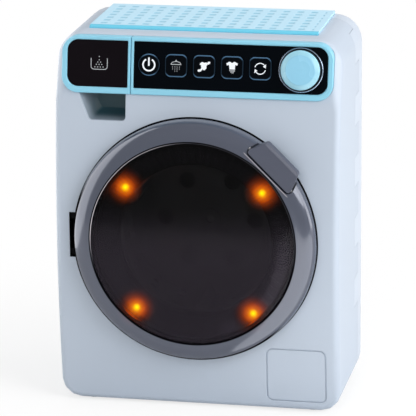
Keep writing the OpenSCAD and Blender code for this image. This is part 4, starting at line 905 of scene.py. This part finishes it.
def ring_skin(name, tint, light, halo):
    """Door ring: gloss plastic with a painted highlight on its inner lip at the upper left and along the pocket of its
    handle, painted shade lines at its inner edge, at the base of its outer wall and on its outer rim, and painted lamp
    light near the lamps.
    """
    finish = Finish(name)
    low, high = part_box("door_ring")
    edge = (high.x - low.x) / 2
    inner = edge - RING_FACE
    x, y, z, radius = finish.about("door_ring")
    face = 1 - (y - low.y).fade(2.5 * MM, 3.5 * MM)
    # Painted highlight on the inner lip, only on its upper left where light falls
    upper_left = z.fade(-25 * MM, 10 * MM) * (1 - x.fade(-30 * MM, 0.0) * 0.75)
    bead_highlight = (1 - radius.fade(inner + 0.6 * MM, inner + 0.8 * MM)) * face * upper_left
    # Painted shade line along the inner edge, outside the lit lip
    line = (1 - radius.fade(inner + 1.4 * MM, inner + 1.8 * MM)) * face * (1 - bead_highlight)
    # Painted shadow at the base of the ring's outer wall
    foot_shadow = finish.behind_front().fade(-1.4 * MM, -1.1 * MM) * radius.fade(edge - 4 * MM, edge - 3 * MM)
    # Painted shade on the outer rim, all round except the upper right
    upper_right = ((x * 0.58 + z * 0.81) / radius).fade(-0.3, -0.05)
    rim = radius.fade(edge - 2.3 * MM, edge - 2.0 * MM) * (1 - upper_right)
    out, side = (x + z) * 0.5 ** 0.5, abs(x - z) * 0.5 ** 0.5
    # Painted highlight along the edge of the handle's pocket
    pocket = (
        out.fade(POCKET_END - 0.4 * MM, POCKET_END - 0.1 * MM)
        * (1 - out.fade(POCKET_END + 0.4 * MM, POCKET_END + 0.6 * MM))
        * (1 - side.fade(HANDLE_HALF - 1 * MM, HANDLE_HALF + 1 * MM))
    )
    flow = finish.noise(16.0, 3.0)
    grains = finish.noise(2600.0)
    plastic = finish.mix(flow, shade(tint, 0.96), shade(tint, 1.04))
    return finish.surface(
        line.most(foot_shadow).most(rim),
        Base_Color=finish.mix(bead_highlight.most(pocket * 0.8), plastic, light),
        Metallic=0.25,
        Roughness=flow * 0.05 + grains * 0.03 + 0.13,
        Coat_Weight=0.7,
        Coat_Roughness=0.04,
        # Painted orange lamp light on the ring's face near the lamps
        Emission_Color=finish.mix(lamp_light(finish, LAMP_REACH) ** 2.0 * face, BLACK, halo),
        Emission_Strength=0.35,
        Normal=finish.grained(grains, 0.3),
    )


class WASHER_OT_door(Step):
    """Door ring, its glass, inner frame, hinge and screws"""

    bl_idname = "washer.door"
    bl_label = "Door"

    def build(self, colours, sizes, stage):
        # The light grey is the colour of the ring's painted highlights
        dress(ring_skin("door_plastic", colours.door, linear(176, 172, 178), colours.halo), "door_ring")
        # Near black with little gloss: painted shade in the hinge slot
        dress(moulded("arm_plastic", (0.004, 0.004, 0.005), 0.5, gloss=0.1), "hinge_arm")
        dress(moulded("frame_plastic", shade(colours.door, 0.5), 0.4), "door_inner_frame")
        dress(smoked_glass("smoked_glass", colours.glass, colours.glass_low, colours.halo), "door_glass")
        # Near black with little gloss: painted shade in the hinge slot
        dress(moulded("bracket_plastic", (0.005, 0.005, 0.006), 0.6, gloss=0.1), "hinge_bracket")
        dress(drawn_steel("pin_steel", (0.7, 0.7, 0.72)), "door_screws", "hinge_pin")


class WASHER_OT_handle(Step):
    """Sprung handle with its pin and strike"""

    bl_idname = "washer.handle"
    bl_label = "Handle"

    def build(self, colours, sizes, stage):
        dress(moulded("handle_plastic", colours.handle, 0.4, 0.8, 1.4), "door_handle")
        dress(drawn_steel("spring_steel", (0.66, 0.66, 0.68)), "handle_pin", "handle_spring")
        dress(moulded("strike_plastic", (0.62, 0.65, 0.68), 0.45), "latch_strike")


class WASHER_OT_lamps(Step):
    """Lamp ring and its four lit lamps with their glow"""

    bl_idname = "washer.lamps"
    bl_label = "Lamps"

    def build(self, colours, sizes, stage):
        dress(ray_ring("ray_ring_plastic", (0.03, 0.03, 0.033), colours.halo), "lamp_ring")
        dress(lit_lamp("lit_lamp", colours.core, colours.halo), "lamps")
        veil = glow_veil("glow_veil", colours.core, colours.halo)
        low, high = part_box("lamp_ring")
        middle = (low + high) / 2
        glass_low, glass_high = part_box("door_glass")
        limit = (glass_high.x - glass_low.x) / 2 - 4.1 * MM
        for number, lamp in enumerate(lamp_middles(), 1):
            disc = {"vertices": 64, "radius": sizes.glow, "fill_type": "NGON"}
            piece = add(bpy.ops.mesh.primitive_circle_add, f"lamp_glow_{number}", **disc)
            bpy.ops.object.mode_set(mode="EDIT")
            for _ in range(5):
                bpy.ops.mesh.inset(thickness=sizes.glow / 6.2)
            bpy.ops.object.mode_set(mode="OBJECT")
            for vertex in piece.data.vertices:
                share = min(1.0, vertex.co.xy.length / sizes.glow)
                point = Vector((lamp.x + vertex.co.x, lamp.y - (0.9 - 0.5 * share) * MM, lamp.z + vertex.co.y))
                flat = Vector((point.x - middle.x, point.z - middle.z))
                past = max(0.0, flat.length - limit)
                flat *= 1 - past / flat.length
                vertex.co = (middle.x + flat.x, point.y - past, middle.z + flat.y)
            piece.data.materials.append(veil)
            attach(piece, "housing")


class WASHER_OT_drum(Step):
    """Tub, perforated drum and the shaft it turns on"""

    bl_idname = "washer.drum"
    bl_label = "Drum and tub"

    def build(self, colours, sizes, stage):
        dress(moulded("tub_plastic", (0.3, 0.31, 0.33), 0.5), "tub")
        dress(moulded("drum_plastic", (0.42, 0.43, 0.45), 0.3, 0.6, 1.0, 0.2, 0.6), "drum", "drum_back", "drum_lifters")
        dress(drawn_steel("shaft_steel", (0.68, 0.68, 0.7)), "drum_shaft", "drum_screw", "knob_shaft")
        dress(moulded("bush_plastic", (0.78, 0.72, 0.56), 0.35), "drum_bush")


class WASHER_OT_drive(Step):
    """Motor, gears, brackets and control boards"""

    bl_idname = "washer.drive"
    bl_label = "Drive and boards"

    def build(self, colours, sizes, stage):
        dress(moulded("gear_plastic", (0.8, 0.77, 0.66), 0.34), "drum_gear", "motor_pinion")
        dress(drawn_steel("motor_case", (0.6, 0.61, 0.63), 0.34), "motor", "bracket_screws")
        dress(moulded("bracket_grey", (0.2, 0.22, 0.25), 0.5), "motor_bracket")
        dress(circuit_board("board_mask", (0.02, 0.12, 0.05)), *BOARDS)
        dress(moulded("switch_black", (0.03, 0.03, 0.035), 0.45), "button_switches", "knob_encoder")


class WASHER_OT_rear(Step):
    """Speaker, battery box, cells and contacts"""

    bl_idname = "washer.rear"
    bl_label = "Speaker and cells"

    def build(self, colours, sizes, stage):
        dress(turned_cone("speaker_cone", (0.04, 0.04, 0.045), "speaker"), "speaker")
        dress(moulded("retainer_plastic", (0.6, 0.63, 0.66), 0.45), "speaker_retainer")
        dress(moulded("box_plastic", (0.03, 0.03, 0.035), 0.5), "battery_box")
        dress(plated("contact_plating", (0.83, 0.76, 0.6), 0.28), "battery_contacts")
        dress(cell_jacket("cell_jacket", (0.03, 0.06, 0.14), (0.5, 0.33, 0.12)), "batteries")


def plain(name, tint, camera_light):
    """A stage colour that the camera sees white far away, and nearly white, with shadows, near the machine."""
    finish = Finish(name)
    x, y, _ = finish.axes()
    away = ((x ** 2.0 + y ** 2.0) ** 0.5).fade(0.14, 0.42)
    camera_light = away * (1 - camera_light) + camera_light
    rays = finish.node("ShaderNodeLightPath", {}, {}, "Is Camera Ray")
    lit = finish.node("ShaderNodeBsdfDiffuse", {}, {"Color": tint, "Roughness": 0.9}, "BSDF")
    bright = finish.node("ShaderNodeEmission", {}, {"Color": (1.0, 1.0, 1.0), "Strength": 1.0}, "Emission")
    return finish.end(finish.node("ShaderNodeMixShader", {}, {0: rays * camera_light, 1: lit, 2: bright}))


class WASHER_OT_stage(Step):
    """Floor, lamps, sky and camera"""

    bl_idname = "washer.stage"
    bl_label = "Stage"

    def build(self, colours, sizes, stage):
        floor = add(bpy.ops.mesh.primitive_plane_add, "floor", size=1)
        floor.data.transform(Matrix.Translation((0, 0.5, 0)))
        floor.data.transform(Matrix.Diagonal((8.0, 6.0, 1.0, 1.0)))
        floor.data.transform(Matrix.Translation((0, stage.floor_front, -0.05 * MM)))
        floor.data.materials.append(plain("floor_white", (0.9, 0.9, 0.9), 0.72))
        self.lamp("key_lamp", (1.25, -0.75, 0.85), 1.0, stage.key)
        self.lamp("side_lamp", (1.9, 0.25, 0.5), 1.2, stage.side)
        for lamp in (
            self.lamp("fill_lamp", (-0.35, -1.9, 1.0), 1.3, stage.fill),
            self.lamp("left_lamp", (-1.8, -0.75, 0.45), 0.7, stage.left),
            self.lamp("top_lamp", (0.0, 0.3, 1.6), 1.2, stage.top),
        ):
            lamp.visible_glossy = False
        leaning = ((0, 0.618, 0.786), (0, 0.786, -0.618))
        self.card("left_card", (-0.42, -0.027, 0.146), (1.2, 0.8), leaning, stage.left_card)
        lying = ((1, 0, 0), (0, -1, 0))
        self.card("floor_card", (0.48, -0.35, 0.0005), (0.9, 0.54), lying, stage.floor_card)
        self.sky(stage.world)
        self.camera(stage)

    def lamp(self, name, place, size, power):
        """One square soft lamp that shines on the middle of the machine."""
        bpy.ops.object.select_all(action="DESELECT")
        bpy.ops.object.light_add(type="AREA", location=place)
        lamp = bpy.context.object
        lamp.name = name
        lamp.data.shape = "SQUARE"
        lamp.data.size = size
        lamp.data.energy = power
        lamp.rotation_euler = (Vector((0, 0, 0.14)) - Vector(place)).to_track_quat("-Z", "Y").to_euler()
        return lamp

    def card(self, name, place, sides, directions, power):
        """A bright card that shows only in gloss and lights nothing."""
        lamp = self.lamp(name, place, sides[0], power)
        lamp.data.shape = "RECTANGLE"
        lamp.data.size_y = sides[1]
        across, along = (Vector(d) for d in directions)
        lamp.rotation_euler = Matrix((across, along, across.cross(along))).transposed().to_euler()
        lamp.visible_camera = lamp.visible_diffuse = lamp.visible_transmission = False

    def sky(self, strength):
        """Even light from all round, which the camera sees as plain white."""
        sky = Finish("sky", "worlds")
        light = sky.node("ShaderNodeLightPath", {}, {}, "Is Camera Ray") * (1 - strength) + strength
        shader = sky.node("ShaderNodeBackground", {}, {"Color": (1.0, 1.0, 1.0), "Strength": light}, "Background")
        bpy.context.scene.world = sky.end(shader, "ShaderNodeOutputWorld")

    def camera(self, stage):
        """The camera at the photograph's angle."""
        aim = Vector((0, -0.0525, 0.142))
        turn, rise = stage.azimuth, stage.elevation
        ahead = Vector((-math.sin(turn) * math.cos(rise), math.cos(turn) * math.cos(rise), -math.sin(rise)))
        right = Vector((math.cos(turn), math.sin(turn), 0))
        up = right.cross(ahead)
        across = right * math.cos(stage.roll) + up * math.sin(stage.roll)
        upward = across.cross(ahead)
        bpy.ops.object.camera_add()
        camera = bpy.context.object
        camera.name = "camera"
        camera.matrix_world = Matrix.Translation(aim - ahead * stage.distance) @ Matrix(
            (across, upward, -ahead)
        ).transposed().to_4x4()
        camera.data.lens = stage.lens
        camera.data.shift_x = stage.shift_x
        camera.data.shift_y = stage.shift_y
        bpy.context.scene.camera = camera
        bpy.context.scene.view_settings.view_transform = "Standard"


class WASHER_PT_panel(bpy.types.Panel):
    """Lists the steps that dress the machine"""

    bl_idname = "WASHER_PT_panel"
    bl_label = "Washing machine"
    bl_space_type = "VIEW_3D"
    bl_region_type = "UI"
    bl_category = "Washing machine"

    def draw(self, context):
        for step in STEPS:
            self.layout.operator(step.bl_idname)
        for group in (context.scene.washer_colours, context.scene.washer_sizes, context.scene.washer_stage):
            for name in group.__annotations__:
                self.layout.prop(group, name)


STEPS = (
    WASHER_OT_housing,
    WASHER_OT_top_plate,
    WASHER_OT_panel,
    WASHER_OT_buttons,
    WASHER_OT_knob,
    WASHER_OT_door,
    WASHER_OT_handle,
    WASHER_OT_lamps,
    WASHER_OT_drum,
    WASHER_OT_drive,
    WASHER_OT_rear,
    WASHER_OT_stage,
)
GROUPS = {"washer_colours": WasherColours, "washer_sizes": WasherSizes, "washer_stage": WasherStage}


def register():
    """Registers the sizes and colours, the steps and their panel."""
    for name, group in GROUPS.items():
        bpy.utils.register_class(group)
        setattr(bpy.types.Scene, name, PointerProperty(type=group))
    for step in (*STEPS, WASHER_PT_panel):
        bpy.utils.register_class(step)


def unregister():
    """Takes back what register did."""
    for step in (WASHER_PT_panel, *reversed(STEPS)):
        bpy.utils.unregister_class(step)
    for name, group in GROUPS.items():
        delattr(bpy.types.Scene, name)
        bpy.utils.unregister_class(group)


def main():
    """Dresses the machine step by step."""
    register()
    for step in STEPS:
        family, name = step.bl_idname.split(".")
        if getattr(getattr(bpy.ops, family), name)() != {"FINISHED"}:
            raise RuntimeError(f"{step.bl_label} wasn't finished")


if __name__ == "__main__":
    main()
